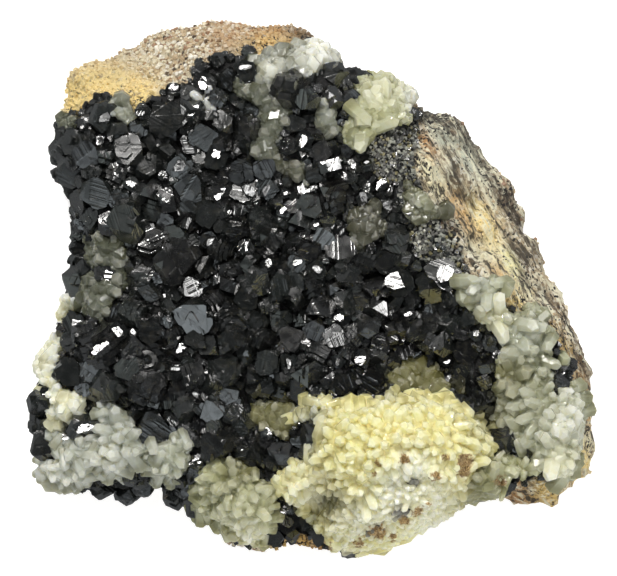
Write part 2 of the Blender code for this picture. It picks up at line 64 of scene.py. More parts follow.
# Outline of the rock seen from above, read by its angle about the middle
OUTLINE = [
    (-41.3, 30.0), (-40.0, 33.3), (-39.5, 36.3), (-34.7, 38.0), (-28.0, 40.8), (-21.3, 43.5), (-15.5, 44.2),
    (-7.7, 43.3), (-3.0, 43.3), (1.2, 42.3), (6.2, 37.0), (12.8, 35.7), (19.2, 30.5), (25.0, 28.7),
    (29.5, 22.7), (33.3, 17.3), (35.7, 12.2), (36.0, 9.2), (39.7, 4.7), (42.3, -0.8), (44.7, -7.0),
    (46.8, -13.3), (47.2, -22.0), (46.3, -30.7), (41.3, -35.2), (37.8, -36.2), (30.3, -34.5), (26.7, -35.0),
    (20.0, -39.3), (12.8, -43.5), (7.8, -44.0), (-3.0, -43.5), (-11.3, -43.5), (-17.2, -38.7), (-23.8, -34.3),
    (-31.3, -33.7), (-38.8, -33.3), (-44.3, -32.8), (-45.8, -27.0), (-45.8, -18.7), (-43.8, -12.0),
    (-41.3, -5.3), (-40.3, 1.3), (-39.2, 8.0), (-40.0, 14.7), (-41.7, 20.5), (-42.2, 25.0),
]

# How the top falls to its edge: direction in degrees, width and depth of the fall, and room for a crust
SHOULDERS = [
    (0, 9, 10, 0.0), (25, 12, 13, 0.0), (45, 8, 11, 0.3), (62, 4, 6, 1.5), (80, 4, 6, 1.2), (95, 5, 6, 0.0),
    (115, 7, 7, 0.0), (138, 7, 8, 0.3), (155, 3, 5, 1.8), (180, 4, 5, 1.8), (205, 3, 5, 1.8),
    (220, 5, 7, 1.8), (240, 5, 7, 1.8), (262, 5, 8, 1.2), (285, 5, 8, 0.6), (305, 4, 7, 0.6),
    (320, 3, 6, 0.3), (340, 3, 6, 0.0),
]

# Rises and hollows of the top: place, radius and rise
RELIEF = [
    (6.5, -25.5, 8.0, 7.0), (15.0, -24.0, 8.0, 6.0), (23.0, -25.5, 6.0, 6.0),
    (16.0, -16.0, 6.0, -4.5), (22.0, -14.5, 6.0, -4.5), (20.0, -3.0, 5.0, -4.5),
    (3.5, -35.0, 4.0, -7.0), (-2.0, -37.0, 4.5, -7.0), (16.0, -35.0, 6.0, 3.0), (-12.0, -34.0, 6.0, -1.5),
    (-6.5, -21.0, 6.0, -5.0), (0.0, 32.0, 9.0, 2.0), (13.0, 30.0, 5.0, 2.5), (-36.0, 5.0, 7.0, -3.5),
    (-38.0, -3.0, 6.0, -4.0), (-32.0, -10.0, 6.0, 2.5), (-38.0, -24.0, 9.0, -5.0), (21.0, 18.0, 6.0, 2.5),
    (26.0, 9.0, 6.0, 3.5), (31.0, 1.0, 6.0, 4.0), (36.0, -6.0, 5.0, 2.5), (31.0, -22.0, 5.0, -6.0),
    (40.0, -23.0, 5.0, 2.0), (-25.0, -28.0, 6.0, -1.0), (0.0, 12.0, 14.0, 1.5),
]

# Flat breaks round the underside: direction and slope below the level in degrees, distance from the middle
BREAK_CENTRE = np.array([0.0, 0.0, 12.0])
BREAKS = [
    (8, 52, 33.0), (40, 58, 25.5), (78, 50, 28.5), (112, 55, 30.5), (150, 50, 33.0), (182, 60, 29.0),
    (214, 52, 34.5), (246, 62, 26.0), (280, 50, 32.0), (318, 55, 35.0), (342, 60, 30.5),
]

# Where the rim stands out a little more or less than the outline: direction in degrees and by how much
RIM_SWELL = [
    (12, 0.1), (20, 0.2), (26, 0.5), (34, 0.1), (44, 0.5), (50, 1.1), (57, 0.9), (64, 0.4), (75, 0.2),
    (90, 0.0), (110, 0.0), (118, -0.5), (124, -0.5), (132, 0.3), (142, 0.6), (148, 0.8), (156, 0.4),
    (164, 0.4), (170, 0.7), (186, 0.8), (194, 0.4), (200, 0.7), (208, 0.4), (214, 0.9), (219, 1.2),
    (223, 0.5), (227, -0.4), (233, -0.2), (240, 0.4), (252, 0.4), (262, 0.9), (272, 0.9), (278, 0.0),
    (290, -0.2), (300, 0.3), (310, 0.4), (318, 0.7), (326, 0.9), (332, 0.3), (345, 0.3), (352, 0.1),
]

# Where crystals cover the rock
FIELD = [
    (-50, 27.5), (-41.7, 27.7), (-39.7, 29.3), (-36.7, 29.3), (-35.5, 31.3), (-33.8, 32.2), (-32.7, 31.3),
    (-31.3, 29.7), (-28.8, 27.7), (-27.7, 29.3), (-26.3, 31.3), (-22.7, 33.3), (-19.7, 33.8), (-18.8, 36.3),
    (-15.5, 38.3), (-12.2, 38.5), (-9.7, 37.7), (-2.7, 38.7), (4.5, 44), (15.3, 38.8), (21, 34), (17.8, 26.3),
    (18.7, 17.2), (22, 10.5), (28.7, 0), (35.3, -4.5), (40, -7.8), (44, -16.2), (46, -25.3), (45.3, -29),
    (39.5, -31.3), (31.7, -34.3), (22, -38.5), (8, -48), (-20, -48), (-52, -40), (-50, -10),
]

# Along the right rim the crust stops short of the edge, and the quartz crystals a little more: the first and
# last direction in degrees, and how short they stop. Elsewhere the quartz may reach past the edge.
BARE_DIRECTIONS = (-38, 62)
BARE_OF_CRUST = 2.2
BARE_OF_CRYSTALS = 2.3
RIM_REACH = 0.8

# The quartz druses' outlines, one or more for each druse
QUARTZ = {
    "quartz_druse_lower_centre": [[
        (-6.3, -33.2), (-5.5, -31.7), (-3.8, -30.2), (-1.3, -28.8), (0.7, -29), (1.8, -27), (2.7, -25.3),
        (3.2, -23.7), (2.3, -22.2), (-1.7, -22.2), (-0.8, -21.3), (0.8, -20.8), (1.3, -19.5), (2.7, -19.7),
        (4.5, -20.5), (7.5, -20.2), (10, -20.5), (12, -19.5), (14.2, -18), (15.3, -19.7), (19.5, -19),
        (23.7, -19.8), (24.7, -21.3), (27, -20.8), (28.3, -23.2), (30.3, -23.3), (30.3, -25.3), (28.7, -26.5),
        (30.3, -28.2), (28.3, -28.8), (27.2, -30.8), (26.3, -32.7), (25.7, -34.7), (24.5, -37.8),
        (20.7, -40.5), (16.7, -43), (14, -45), (6.2, -45.5), (5, -42.8), (4.2, -40.3), (1.7, -40), (0.8, -39),
        (2, -37.7), (3, -36.5), (2, -35.8), (-0.5, -35.5), (-2.7, -36.2), (-3.8, -35), (-4.7, -33.8),
    ]],
    "quartz_druse_lower_left": [[
        (-34.7, -18.7), (-32.7, -19), (-30.5, -20.7), (-29.2, -22), (-28, -25.3), (-26.3, -27.3),
        (-23.8, -25.7), (-20.5, -25.3), (-19.5, -28), (-20.5, -30.5), (-22.7, -31.5), (-24.3, -31),
        (-26, -29.8), (-27, -28.5), (-28, -27.7), (-30.2, -29), (-31.2, -31), (-32.7, -30.5), (-34.7, -29.8),
        (-35.5, -28.8), (-36.2, -30.5), (-37.7, -31.5), (-40.5, -32.8), (-43, -32), (-45.5, -30.3),
        (-45, -28.8), (-41.3, -29.3), (-39.7, -27.8), (-41, -26.2), (-41.8, -24), (-40.3, -23.7),
        (-39.3, -25.3), (-35.5, -24.5), (-34.3, -22),
    ]],
    "quartz_druse_left_edge": [[
        (-43, -7.8), (-41, -9), (-41.2, -13.3), (-42.2, -15), (-41.7, -16.7), (-40, -17.3), (-37.2, -17.5),
        (-37.3, -20), (-38.7, -20.8), (-39, -22.8), (-40.3, -23.3), (-41.7, -21.2), (-42.7, -18.7),
        (-43.7, -16.2), (-45, -15), (-46.7, -13.7), (-46, -11.7), (-44.3, -9.5),
    ]],
    "quartz_druse_left_middle": [[
        (-35, 10), (-33.8, 9.3), (-31, 8), (-29.3, 6.7), (-30, 4.3), (-30.2, 0.5), (-31, -1.2), (-32.7, -2),
        (-33.3, -5), (-36.3, -4.7), (-36.7, -2.3), (-36, 0), (-35.2, 1), (-35.2, 4.3), (-35, 5.5),
        (-36.2, 7.5),
    ]],
    "quartz_druse_left_rim": [[
        (-41.7, -0.8), (-39.3, -2.2), (-36.8, -2.3), (-37.3, -3.5), (-40, -4), (-41.7, -7), (-43, -7.8),
        (-43, -5.7), (-42.3, -3.3),
    ]],
    "quartz_druse_top": [[
        (-8.7, 37), (-5.5, 37.7), (-3, 38.3), (-1.3, 39.7), (1.7, 41.5), (4, 41), (6.5, 37.5), (3.7, 37),
        (1.7, 36), (0, 35.3), (-1.3, 36), (-3, 36.3), (-4.3, 35.7), (-5.2, 34.7), (-6.7, 33.8), (-7.7, 34.7),
    ], [
        (-8.3, 34), (-6.7, 33.3), (-6.3, 31.7), (-3.8, 30.5), (-2.7, 29.2), (-4.2, 27.2), (-4.7, 25.5),
        (-5.5, 24.3), (-5, 22.2), (-2.5, 20), (-0.7, 21), (-0.5, 17.5), (-3, 18.5), (-6.5, 20.5),
        (-8.8, 21.7), (-9.7, 23), (-8.5, 24.7), (-7.7, 27.2), (-7.7, 29.7), (-9.7, 31.3), (-12, 32),
        (-11.5, 33.3),
    ], [
        (1.7, 30.8), (4.3, 30.3), (4.5, 27), (3.7, 24.7), (1.8, 25.5), (1.3, 28),
    ], [
        (-32.5, 30.6), (-30.5, 30.1), (-29.2, 28.8), (-29.8, 27.8), (-31, 28), (-32.3, 29),
    ], [
        (-40.5, 28.5), (-38.3, 28.7), (-37.3, 27.5), (-38.3, 26.5), (-40, 26.7),
    ]],
    "quartz_druse_top_right": [[
        (8.2, 33.3), (9.5, 33.8), (11.2, 34.7), (12.8, 35.8), (15.3, 35.5), (17, 34.8), (18.8, 33.3),
        (18.3, 31.7), (16.7, 30.5), (15.7, 28.8), (14.8, 27.5), (13.7, 27.2), (12, 26.3), (10.7, 25),
        (9.5, 23.5), (7.8, 23), (6.2, 23.5), (6.7, 25.5), (7.3, 27.2), (8.3, 28.8), (8.2, 31.3),
    ]],
    "quartz_druse_right": [[
        (28.3, -2), (32, -2.5), (33.3, -4.5), (37, -4), (38.7, -6.2), (39.5, -9.5), (39.3, -12.3),
        (42, -12.3), (42.3, -14.7), (40.3, -15), (40.5, -18), (42, -18), (43.7, -16.2), (44.7, -18),
        (45.2, -19.5), (45.8, -22.8), (45.5, -27), (44, -28.7), (43.3, -31.7), (40, -31.2), (39.5, -28.7),
        (38.3, -27.3), (35.3, -26.2), (33.7, -23.7), (31.2, -22.8), (29.5, -21.2), (31.5, -19.5),
        (33.3, -17.8), (32, -15.3), (31.2, -13.7), (32.5, -10.3), (32.5, -7.8), (31.7, -6.7), (30, -7),
        (29.2, -4.5),
    ], [
        (26.3, 1), (28.7, 1.7), (31.2, 0.7), (31.7, -1.3), (28.7, -1.8), (27, -0.7),
    ]],
    "quartz_druse_lower_right": [[
        (28.7, -29.3), (32, -28.5), (35.3, -28.2), (39, -29.3), (38.5, -30.8), (32.8, -31.2), (31.5, -33),
        (32.5, -34.7), (28.7, -36.3), (26, -36.8), (26.5, -32),
    ]],
    "quartz_druse_lower_middle": [[
        (-18.5, -31.5), (-16.3, -29), (-11.8, -28.2), (-9.7, -30.3), (-7.2, -33.2), (-6, -35.3),
        (-6.8, -38.7), (-7.5, -42), (-9.8, -42.5), (-11.8, -40.7), (-13.8, -39.5), (-16.3, -38.2), (-18, -37),
        (-18, -34.5),
    ]],
    "quartz_druse_hollow": [[
        (-9.7, -19.3), (-1.3, -18.7), (-2.2, -26), (-10.7, -21.7),
    ]],
    "quartz_druse_above_centre": [[
        (14, -17), (12.7, -15.3), (15.3, -12.3), (20.3, -10.7), (24.7, -19),
    ]],
    "quartz_druse_middle": [[
        (6.7, 12.7), (8.3, 13.5), (10.7, 12.8), (12.2, 11), (11.7, 8.7), (9.5, 7), (7.7, 8), (6.5, 10),
    ], [
        (17, 17.2), (18.3, 16.3), (20, 14.7), (21.5, 12.7), (20.3, 11.8), (18.7, 12.5), (17.5, 14.7),
    ]],
}

# Quartz crystals that stand out: place, radius, lean and its direction in degrees, and their druse
QUARTZ_SHOWN = [
    (0.2, -28.6, 1.15, 66, 92, "quartz_druse_lower_centre"), (-16.7, 29.4, 0.9, 62, 85, "quartz_druse_top"),
    (-16.5, 31.5, 0.9, 60, 300, "quartz_druse_top"), (-18.0, 31.0, 0.85, 55, 130, "quartz_druse_top"),
    (-17.0, 32.0, 0.8, 50, 60, "quartz_druse_top"), (-18.3, 30.2, 0.7, 60, 200, "quartz_druse_top"),
]

# Bare rock along the lower edge
BARE = [
    [(-10.5, -41.8), (-6, -42), (-1, -41.7), (3.5, -42.3), (5, -44), (5, -48), (-13, -48)],
    [
        (32.5, -32.8), (36, -32.2), (40.5, -31.5), (44, -32), (46, -29), (49, -30), (47, -39), (29, -39),
        (31.5, -35),
    ],
]

# Sphalerite that stands apart in the quartz or at the rim: its outline, or None where one crystal is all
SPHALERITE_APART = {
    "sphalerite_lower_left_edge": [
        (-49, -16.7), (-44, -16.7), (-42.3, -19.3), (-43.7, -22.7), (-41.3, -25.4), (-40.7, -28),
        (-44, -29), (-49, -29.7), (-50, -22),
    ],
    "sphalerite_lower_left": [(-37.3, -23.4, 2.9)],
    "sphalerite_left_middle": [(-33.3, 2.2, 2.1)],
    "sphalerite_bottom_left": [
        (-36.7, -32.6), (-31.5, -34), (-29.7, -32.7), (-26, -33), (-24.7, -37), (-31.3, -38), (-38, -37),
    ],
    "sphalerite_cavity": [
        (-6.7, -37.7), (0.3, -37), (1.3, -40.3), (2.7, -41.7), (-1.3, -41), (-5, -42), (-7, -39.7),
    ],
    "sphalerite_cushion_rim": [(0.4, -24.3, 1.9)],
    "sphalerite_right_rim": [(41.6, -14.8, 2.0)],
    "sphalerite_lower_right": [(33.2, -25.6, 2.6)],
}

# The sphalerite crystals that the photograph shows: place, radius, form and the way the main face looks
SPHALERITE_SHOWN = [
    # Left edge and upper left
    (-41.8, 23.0, 2.3, "block", "black"), (-41.7, 19.3, 1.7, "block", "black"),
    (-36.7, 22.3, 2.7, "plate", "slate"), (-33.8, 28.5, 2.5, "block", "silver"),
    (-29.5, 22.7, 3.0, "wedge", "black"), (-29.2, 17.3, 1.8, "plate", "bright"),
    (-34.8, 15.8, 3.2, "plate", "slate"), (-30.0, 11.0, 3.6, "block", "black"),
    (-23.7, 11.0, 2.1, "plate", "slate"), (-20.2, 11.0, 2.2, "lamellar", "silver"),
    (-16.5, 8.0, 2.2, "plate", "silver"), (-21.7, 4.3, 4.0, "block", "black"),
    (-38.7, 9.3, 2.1, "block", "bright"), (-37.7, 6.0, 2.4, "block", "black"),
    (-38.3, 0.7, 3.2, "block", "black"), (-26.3, -0.5, 2.0, "block", "black"),
    (-23.0, 28.0, 3.3, "wedge", "black"), (-19.2, 29.3, 2.4, "block", "bright"),
    (-15.0, 15.3, 2.4, "block", "bright"), (-17.0, 25.3, 2.7, "wedge", "black"),
    (-15.2, 21.8, 2.2, "wedge", "bright"), (-21.3, 20.0, 2.2, "wedge", "silver"),
    (-26.2, 20.3, 2.5, "block", "black"), (-19.3, 16.5, 3.0, "plate", "black"),
    (-12.0, 10.0, 2.5, "block", "black"),
    # Lower left
    (-38.8, -6.3, 2.5, "plate", "bright"), (-34.3, -9.7, 4.0, "lamellar", "bright"),
    (-39.7, -14.2, 2.7, "plate", "black"), (-33.0, -16.0, 3.0, "block", "black"),
    (-27.0, -16.2, 3.2, "block", "black"), (-22.0, -13.8, 2.2, "lamellar", "silver"),
    (-19.0, -4.7, 3.7, "plate", "slate"), (-21.3, -10.3, 1.9, "plate", "bright"),
    (-18.8, -17.5, 1.3, "plate", "silver"), (-16.0, -20.5, 2.2, "plate", "slate"),
    (-13.0, -18.0, 2.2, "plate", "slate"), (-15.8, -26.3, 3.2, "block", "black"),
    (-25.5, -23.3, 3.3, "plate", "black"), (-26.3, -7.0, 2.5, "wedge", "black"),
    (-29.5, -12.7, 2.5, "wedge", "black"), (-11.2, -22.7, 2.3, "block", "black"),
    (-22.2, -34.9, 2.3, "block", "black"), (-18.7, -36.9, 2.1, "block", "black"),
    (-8.7, -28.0, 2.2, "block", "black"), (-43.9, -19.0, 3.0, "block", "bright"),
    (-44.6, -23.2, 2.6, "block", "black"), (-43.3, -26.5, 3.1, "block", "black"),
    (-37.3, -23.4, 2.9, "block", "bright"), (-33.3, 2.2, 2.1, "block", "bright"),
    (-34.7, -33.8, 2.1, "block", "black"), (-30.7, -34.2, 2.2, "block", "black"),
    (-27.5, -33.5, 1.9, "block", "black"), (-3.8, -39.0, 2.4, "wedge", "silver"),
    (-0.8, -38.8, 2.2, "block", "black"), (-31.8, -7.3, 1.8, "wedge", "bright"),
    (-25.5, -16.2, 1.5, "lamellar", "bright"), (-23.3, -5.3, 1.2, "wedge", "silver"),
    (-28.8, -16.5, 1.5, "lamellar", "silver"), (-6.8, -24.2, 1.2, "wedge", "bright"),
    (-21.0, 5.0, 1.6, "lamellar", "bright"),
    # Top
    (-22.2, 33.0, 1.5, "wedge", "bright"), (-27.5, 29.2, 1.5, "wedge", "bright"),
    (-20.2, 26.8, 1.5, "wedge", "bright"), (-10.5, 14.7, 1.2, "lamellar", "bright"),
    (-8.3, 14.2, 1.1, "lamellar", "bright"), (-7.0, 19.7, 2.3, "plate", "slate"),
    (-1.0, 8.7, 1.1, "wedge", "bright"), (1.3, 10.5, 1.0, "wedge", "bright"),
    (-10.3, 36.0, 2.0, "wedge", "bright"), (-13.3, 34.5, 1.7, "block", "black"),
    (-17.0, 34.0, 2.3, "wedge", "bright"), (-3.0, 33.0, 3.0, "block", "black"),
    (4.3, 35.0, 2.5, "block", "black"), (7.8, 34.7, 2.2, "block", "black"),
    (7.3, 31.0, 2.2, "plate", "slate"), (3.8, 31.5, 2.0, "block", "black"),
    (-0.7, 24.5, 2.2, "plate", "bright"), (6.2, 29.2, 1.2, "plate", "silver"),
    (5.7, 27.2, 1.2, "plate", "silver"), (-10.6, 26.4, 2.5, "block", "black"),
    (-6.8, 16.5, 2.0, "plate", "silver"), (-10.4, 16.0, 2.5, "wedge", "silver"),
    (-3.8, 15.7, 1.0, "plate", "bright"), (-13.8, 27.7, 2.3, "block", "black"),
    (-15.3, 31.3, 2.0, "block", "black"),
    # Middle
    (-4.0, 12.7, 1.4, "wedge", "bright"), (-10.2, 6.7, 1.7, "lamellar", "bright"),
    (-6.7, 3.7, 1.5, "wedge", "bright"), (-1.8, 4.3, 1.7, "wedge", "bright"),
    (1.5, 3.2, 1.8, "wedge", "silver"), (2.7, 8.2, 2.2, "plate", "slate"), (5.3, 9.3, 1.3, "plate", "silver"),
    (15.0, 1.2, 3.5, "plate", "bright"), (22.5, 2.5, 3.4, "plate", "bright"),
    (-4.7, 0.3, 2.7, "block", "black"), (16.8, -4.2, 1.5, "plate", "bright"),
    (9.0, -12.0, 1.9, "plate", "bright"), (5.0, -12.0, 1.4, "plate", "silver"),
    (6.2, -16.0, 2.8, "block", "black"), (10.2, -15.7, 2.7, "block", "black"),
    (-6.7, -16.2, 2.0, "block", "black"), (-3.3, -12.3, 1.7, "plate", "silver"),
    (-4.3, -27.5, 2.4, "block", "black"), (17.0, 13.0, 1.7, "wedge", "bright"),
    (0.4, -24.3, 1.9, "block", "black"),
    # Right
    (23.2, -12.0, 1.5, "plate", "bright"), (26.3, -10.5, 2.7, "plate", "black"),
    (30.2, -9.2, 1.5, "plate", "silver"), (28.0, -7.8, 1.2, "wedge", "bright"),
    (30.0, -17.8, 1.7, "plate", "silver"), (27.0, -20.0, 2.0, "block", "black"),
    (20.3, -12.0, 1.7, "block", "black"), (17.8, -7.3, 2.3, "block", "black"),
    (5.5, -5.0, 1.7, "wedge", "bright"), (20.3, -3.3, 2.5, "block", "black"),
    (23.7, -6.3, 2.5, "block", "black"), (27.0, -4.7, 2.0, "block", "black"),
    (14.5, -7.0, 2.5, "block", "black"), (33.2, -25.6, 2.6, "block", "black"),
    (41.9, -15.8, 1.6, "block", "slate"), (35.6, -26.3, 1.7, "block", "slate"),
    (36.7, -27.4, 1.2, "wedge", "black"), (31.3, -24.3, 1.6, "wedge", "slate"),
]

# Lean from the vertical and its direction, in degrees, of a main face that catches each light; black has none
FACINGS = {"bright": (21, 110), "silver": (25, 20), "slate": (15, 245)}

# Zones where the sphalerite is fine-grained: middle, radius and the largest crystal there
FINE_ZONES = [
    (14.0, 20.0, 9.0, 1.3), (22.0, 8.0, 7.0, 1.2), (10.0, 12.0, 6.0, 1.5), (17.5, 23.0, 5.0, 0.75),
    (18.5, 16.0, 4.0, 0.6), (22.0, 9.5, 4.0, 0.65), (25.5, 4.0, 4.0, 0.65), (24.0, 26.0, 5.0, 0.7),
    (14.5, 22.5, 5.0, 0.6), (20.3, 7.5, 4.0, 0.6), (27.5, 0.5, 2.5, 0.6),
]

# Zones where pale grains are mixed with the fine ore: middle and radius
MIXED_ZONES = [
    (14.5, 22.0, 4.5), (18.5, 15.5, 3.5), (20.3, 8.0, 3.5), (24.5, 5.0, 3.0), (27.0, 0.5, 3.0),
    (19.0, 26.5, 2.5),
]

# Colours of the rock and its stains
ROCK_COLOURS = {
    "ochre": (0.72, 0.50, 0.15), "rust": (0.42, 0.21, 0.07), "umber": (0.05, 0.035, 0.025),
    "ash": (0.52, 0.54, 0.43), "buff": (0.52, 0.43, 0.28), "cream": (0.80, 0.74, 0.50),
    "orange": (0.66, 0.43, 0.19), "gold": (0.90, 0.71, 0.30), "lemon": (0.92, 0.86, 0.46),
}

# Stains on the rock and the crusts: place, radius, strength and colour
STAINS = [
    (-34.0, 33.0, 4.0, 1.0, "gold"), (-38.5, 32.0, 4.0, 1.0, "gold"), (-28.0, 31.8, 3.5, 0.9, "gold"),
    (-6.0, 38.8, 3.5, 0.9, "gold"), (-12.0, 39.5, 3.0, 0.6, "buff"), (-6.0, 42.0, 4.0, 0.6, "rust"),
    (-1.0, 41.5, 3.0, 0.7, "umber"), (-14.0, 42.0, 3.0, 0.4, "rust"), (-33.0, 37.0, 6.0, 0.5, "buff"),
    (20.7, 29.0, 2.2, 1.1, "umber"), (23.9, 28.6, 2.0, 1.2, "umber"), (27.0, 24.7, 1.4, 1.2, "umber"),
    (28.8, 22.0, 1.3, 1.3, "umber"), (30.3, 19.3, 1.4, 1.4, "umber"), (31.6, 16.8, 1.2, 1.0, "umber"),
    (27.0, 21.8, 2.4, 1.1, "ash"), (22.0, 26.0, 2.0, 0.9, "ash"), (19.8, 23.8, 1.5, 1.0, "rust"),
    (24.5, 17.7, 1.7, 1.3, "umber"), (20.7, 18.5, 2.4, 1.2, "cream"), (27.5, 14.2, 0.9, 1.3, "umber"),
    (22.7, 12.8, 1.1, 1.2, "umber"), (24.6, 14.3, 1.7, 1.0, "orange"), (29.5, 11.0, 2.4, 1.1, "gold"),
    (27.3, 9.5, 1.8, 0.8, "orange"), (32.0, 12.2, 2.4, 0.8, "buff"), (33.9, 14.7, 1.2, 1.2, "umber"),
    (35.0, 11.8, 1.2, 1.3, "umber"), (34.7, 6.2, 1.2, 1.5, "umber"), (29.8, 6.3, 2.2, 0.9, "cream"),
    (27.5, 7.0, 1.5, 0.7, "ash"), (34.0, 3.8, 1.5, 1.4, "lemon"), (32.4, 1.0, 1.7, 1.4, "orange"),
    (34.2, -2.5, 1.9, 1.4, "gold"), (36.0, 2.0, 1.0, 1.3, "umber"), (39.5, -1.2, 1.3, 1.1, "umber"),
    (36.4, -0.5, 1.7, 1.0, "cream"), (40.3, 1.3, 2.2, 0.7, "buff"), (38.5, 6.5, 1.2, 0.8, "umber"),
    (42.0, -9.5, 2.3, 0.9, "ochre"), (45.8, -13.0, 2.0, 0.9, "umber"), (45.8, -17.4, 2.0, 1.2, "orange"),
    (46.9, -21.0, 1.8, 1.1, "orange"), (46.7, -25.0, 1.8, 1.0, "cream"), (46.0, -28.3, 1.8, 1.1, "gold"),
    (45.0, -31.0, 2.2, 1.0, "ochre"), (43.4, -12.5, 1.8, 1.1, "orange"), (40.0, -33.5, 4.0, 0.8, "ochre"),
    (36.5, -31.5, 1.8, 0.9, "umber"), (35.0, -35.0, 3.0, 0.7, "rust"), (-3.0, -43.0, 4.0, 0.9, "ochre"),
    (3.0, -43.0, 4.0, 0.8, "rust"), (10.0, -43.0, 3.0, 0.6, "umber"),
]

# Where the rock has dark specks of ore: place, radius and share
SPECKS = [
    (21.0, 28.0, 3.0, 0.7), (24.5, 29.0, 3.0, 0.6), (28.0, 24.0, 2.5, 0.4), (31.0, 20.5, 3.0, 0.5),
    (33.5, 16.0, 3.0, 0.6), (35.0, 11.0, 3.0, 0.5), (27.0, 21.0, 3.0, 0.25), (26.0, 12.0, 3.0, 0.3),
    (33.0, 6.0, 3.0, 0.25), (37.0, 3.0, 2.5, 0.5), (35.0, 0.5, 3.0, 0.5), (40.0, -1.0, 2.5, 0.4),
    (42.5, -5.0, 2.5, 0.5), (44.5, -11.0, 2.5, 0.5), (46.0, -19.0, 2.5, 0.3), (38.0, -34.0, 3.0, 0.3),
    (-3.0, 42.0, 4.0, 0.35), (-8.0, 42.5, 3.0, 0.2), (1.0, 41.0, 3.0, 0.4), (6.0, -43.5, 5.0, 0.35),
]
SPECK_SIDE = np.array([0.82, 0.57])

# Rusty stains in the quartz: place, radius and strength
QUARTZ_STAINS = [
    (15.8, -28.1, 1.4, 0.9), (22.6, -27.8, 1.1, 0.8), (25.9, -28.7, 2.0, 1.0), (25.6, -30.6, 1.7, 0.9),
    (20.9, -31.0, 1.6, 0.8), (11.4, -28.7, 1.0, 0.8), (10.9, -30.6, 0.9, 0.7), (19.8, -35.6, 1.0, 0.9),
    (15.9, -38.7, 1.8, 0.85), (18.1, -37.0, 1.6, 0.85), (11.6, -40.6, 2.4, 0.82), (14.2, -41.6, 1.6, 0.7),
    (8.6, -42.6, 2.2, 0.75), (11.5, -43.4, 2.0, 0.5), (32.0, -32.0, 2.0, 0.8), (3.0, -43.5, 2.0, 0.8),
]

# Colours of the quartz, each druse's main one, and where it differs: place, radius, strength and colour. The
# olive one is painted shade, for quartz in hollows and on shaded sides
QUARTZ_COLOURS = {
    "yellow": (0.96, 0.89, 0.45, 0.12), "cream": (0.98, 0.97, 0.78, 0.10), "white": (0.97, 0.98, 0.92, 0.15),
    "grey": (0.66, 0.69, 0.62, 0.35), "green_grey": (0.55, 0.57, 0.42, 0.35),
    "drab": (0.20, 0.213, 0.165, 0.40), "painted_olive_shade": (0.26, 0.25, 0.11, 0.30), "straw": (0.59, 0.60, 0.38, 0.30),
    "dull": (0.12, 0.12, 0.085, 0.40), "ore": (0.02, 0.02, 0.018, 0.0),
}
QUARTZ_MAIN = {
    "quartz_druse_lower_centre": "yellow", "quartz_druse_lower_left": "grey",
    "quartz_druse_left_edge": "cream", "quartz_druse_left_middle": "drab", "quartz_druse_left_rim": "cream",
    "quartz_druse_top": "drab", "quartz_druse_top_right": "straw", "quartz_druse_right": "green_grey",
    # The druses in the hollow and above the centre take the painted olive shade as their main colour
    "quartz_druse_lower_right": "straw", "quartz_druse_lower_middle": "straw", "quartz_druse_hollow": "painted_olive_shade",
    "quartz_druse_above_centre": "painted_olive_shade", "quartz_druse_middle": "dull",
}
# The olive entries here are painted shade on the quartz in hollows and on the druses' shaded sides
QUARTZ_SHADES = [
    (17.0, -29.0, 3.5, 0.7, "white"), (14.0, -33.0, 3.5, 0.8, "white"), (20.5, -33.5, 4.5, 0.8, "cream"),
    (10.0, -37.5, 4.5, 0.8, "cream"), (6.0, -41.5, 4.0, 0.5, "cream"), (3.8, -34.6, 3.0, 1.5, "painted_olive_shade"),
    (1.0, -21.5, 2.5, 0.8, "grey"), (0.2, -26.5, 1.8, 0.9, "grey"), (24.0, -36.0, 2.5, 0.6, "straw"),
    (20.0, -38.5, 4.0, 0.9, "cream"), (-1.0, -33.0, 4.0, 0.6, "cream"), (13.0, -18.0, 2.0, 0.4, "grey"),
    (28.0, -22.0, 3.0, 0.4, "straw"), (-42.0, -31.5, 4.0, 0.7, "white"), (-33.0, -28.5, 3.0, 0.6, "white"),
    (-23.0, -28.0, 3.5, 0.4, "green_grey"), (-10.5, -40.5, 3.0, 1.0, "cream"),
    (-11.5, -29.5, 3.5, 0.9, "painted_olive_shade"), (1.5, 39.0, 4.0, 1.0, "white"), (-6.0, 36.2, 2.5, 0.8, "white"),
    (2.8, 28.8, 2.5, 0.6, "grey"), (-4.0, 19.0, 3.5, 0.9, "dull"), (16.8, 31.5, 2.2, 0.9, "white"),
    (11.5, 31.0, 1.6, 0.6, "cream"), (8.0, 24.5, 2.5, 0.4, "green_grey"), (30.5, -4.0, 3.0, 1.0, "cream"),
    (36.0, -8.0, 3.0, 0.8, "grey"), (33.5, -14.5, 3.5, 0.9, "painted_olive_shade"), (42.5, -22.5, 3.0, 0.9, "white"),
    (41.0, -29.0, 3.0, 0.8, "cream"), (42.5, -17.5, 1.5, 0.8, "white"), (32.0, -21.5, 2.5, 0.6, "painted_olive_shade"),
    (28.0, -33.0, 3.0, 0.7, "painted_olive_shade"), (-16.7, 31.0, 2.5, 1.0, "white"), (-31.0, 29.0, 2.5, 0.6, "grey"),
    (19.0, 14.5, 3.0, 0.75, "green_grey"), (28.5, 0.3, 2.5, 0.8, "grey"), (15.3, -36.2, 0.9, 3.0, "ore"),
    (11.4, -38.9, 0.7, 3.0, "ore"), (17.2, -31.7, 0.6, 3.0, "ore"), (7.0, -44.0, 0.8, 2.0, "ore"),
]
QUARTZ_FINE = [
    (17.0, -34.0, 5.5, 0.65), (22.0, -35.0, 4.0, 0.7), (11.0, -40.0, 5.0, 0.7), (3.8, -34.5, 2.5, 0.6),
    (-31.0, 29.3, 3.0, 0.6), (-39.0, 27.5, 3.0, 0.55),
]

# The rock's grid: points round each ring, and where the rings lie on the way from the top to the back
ROCK_SEGMENTS = 400
ROCK_WAYS = np.concatenate([
    np.linspace(0, TOP_END, 135), np.linspace(TOP_END, WALL_END, 62)[1:], np.linspace(WALL_END, 1, 18)[1:]
])

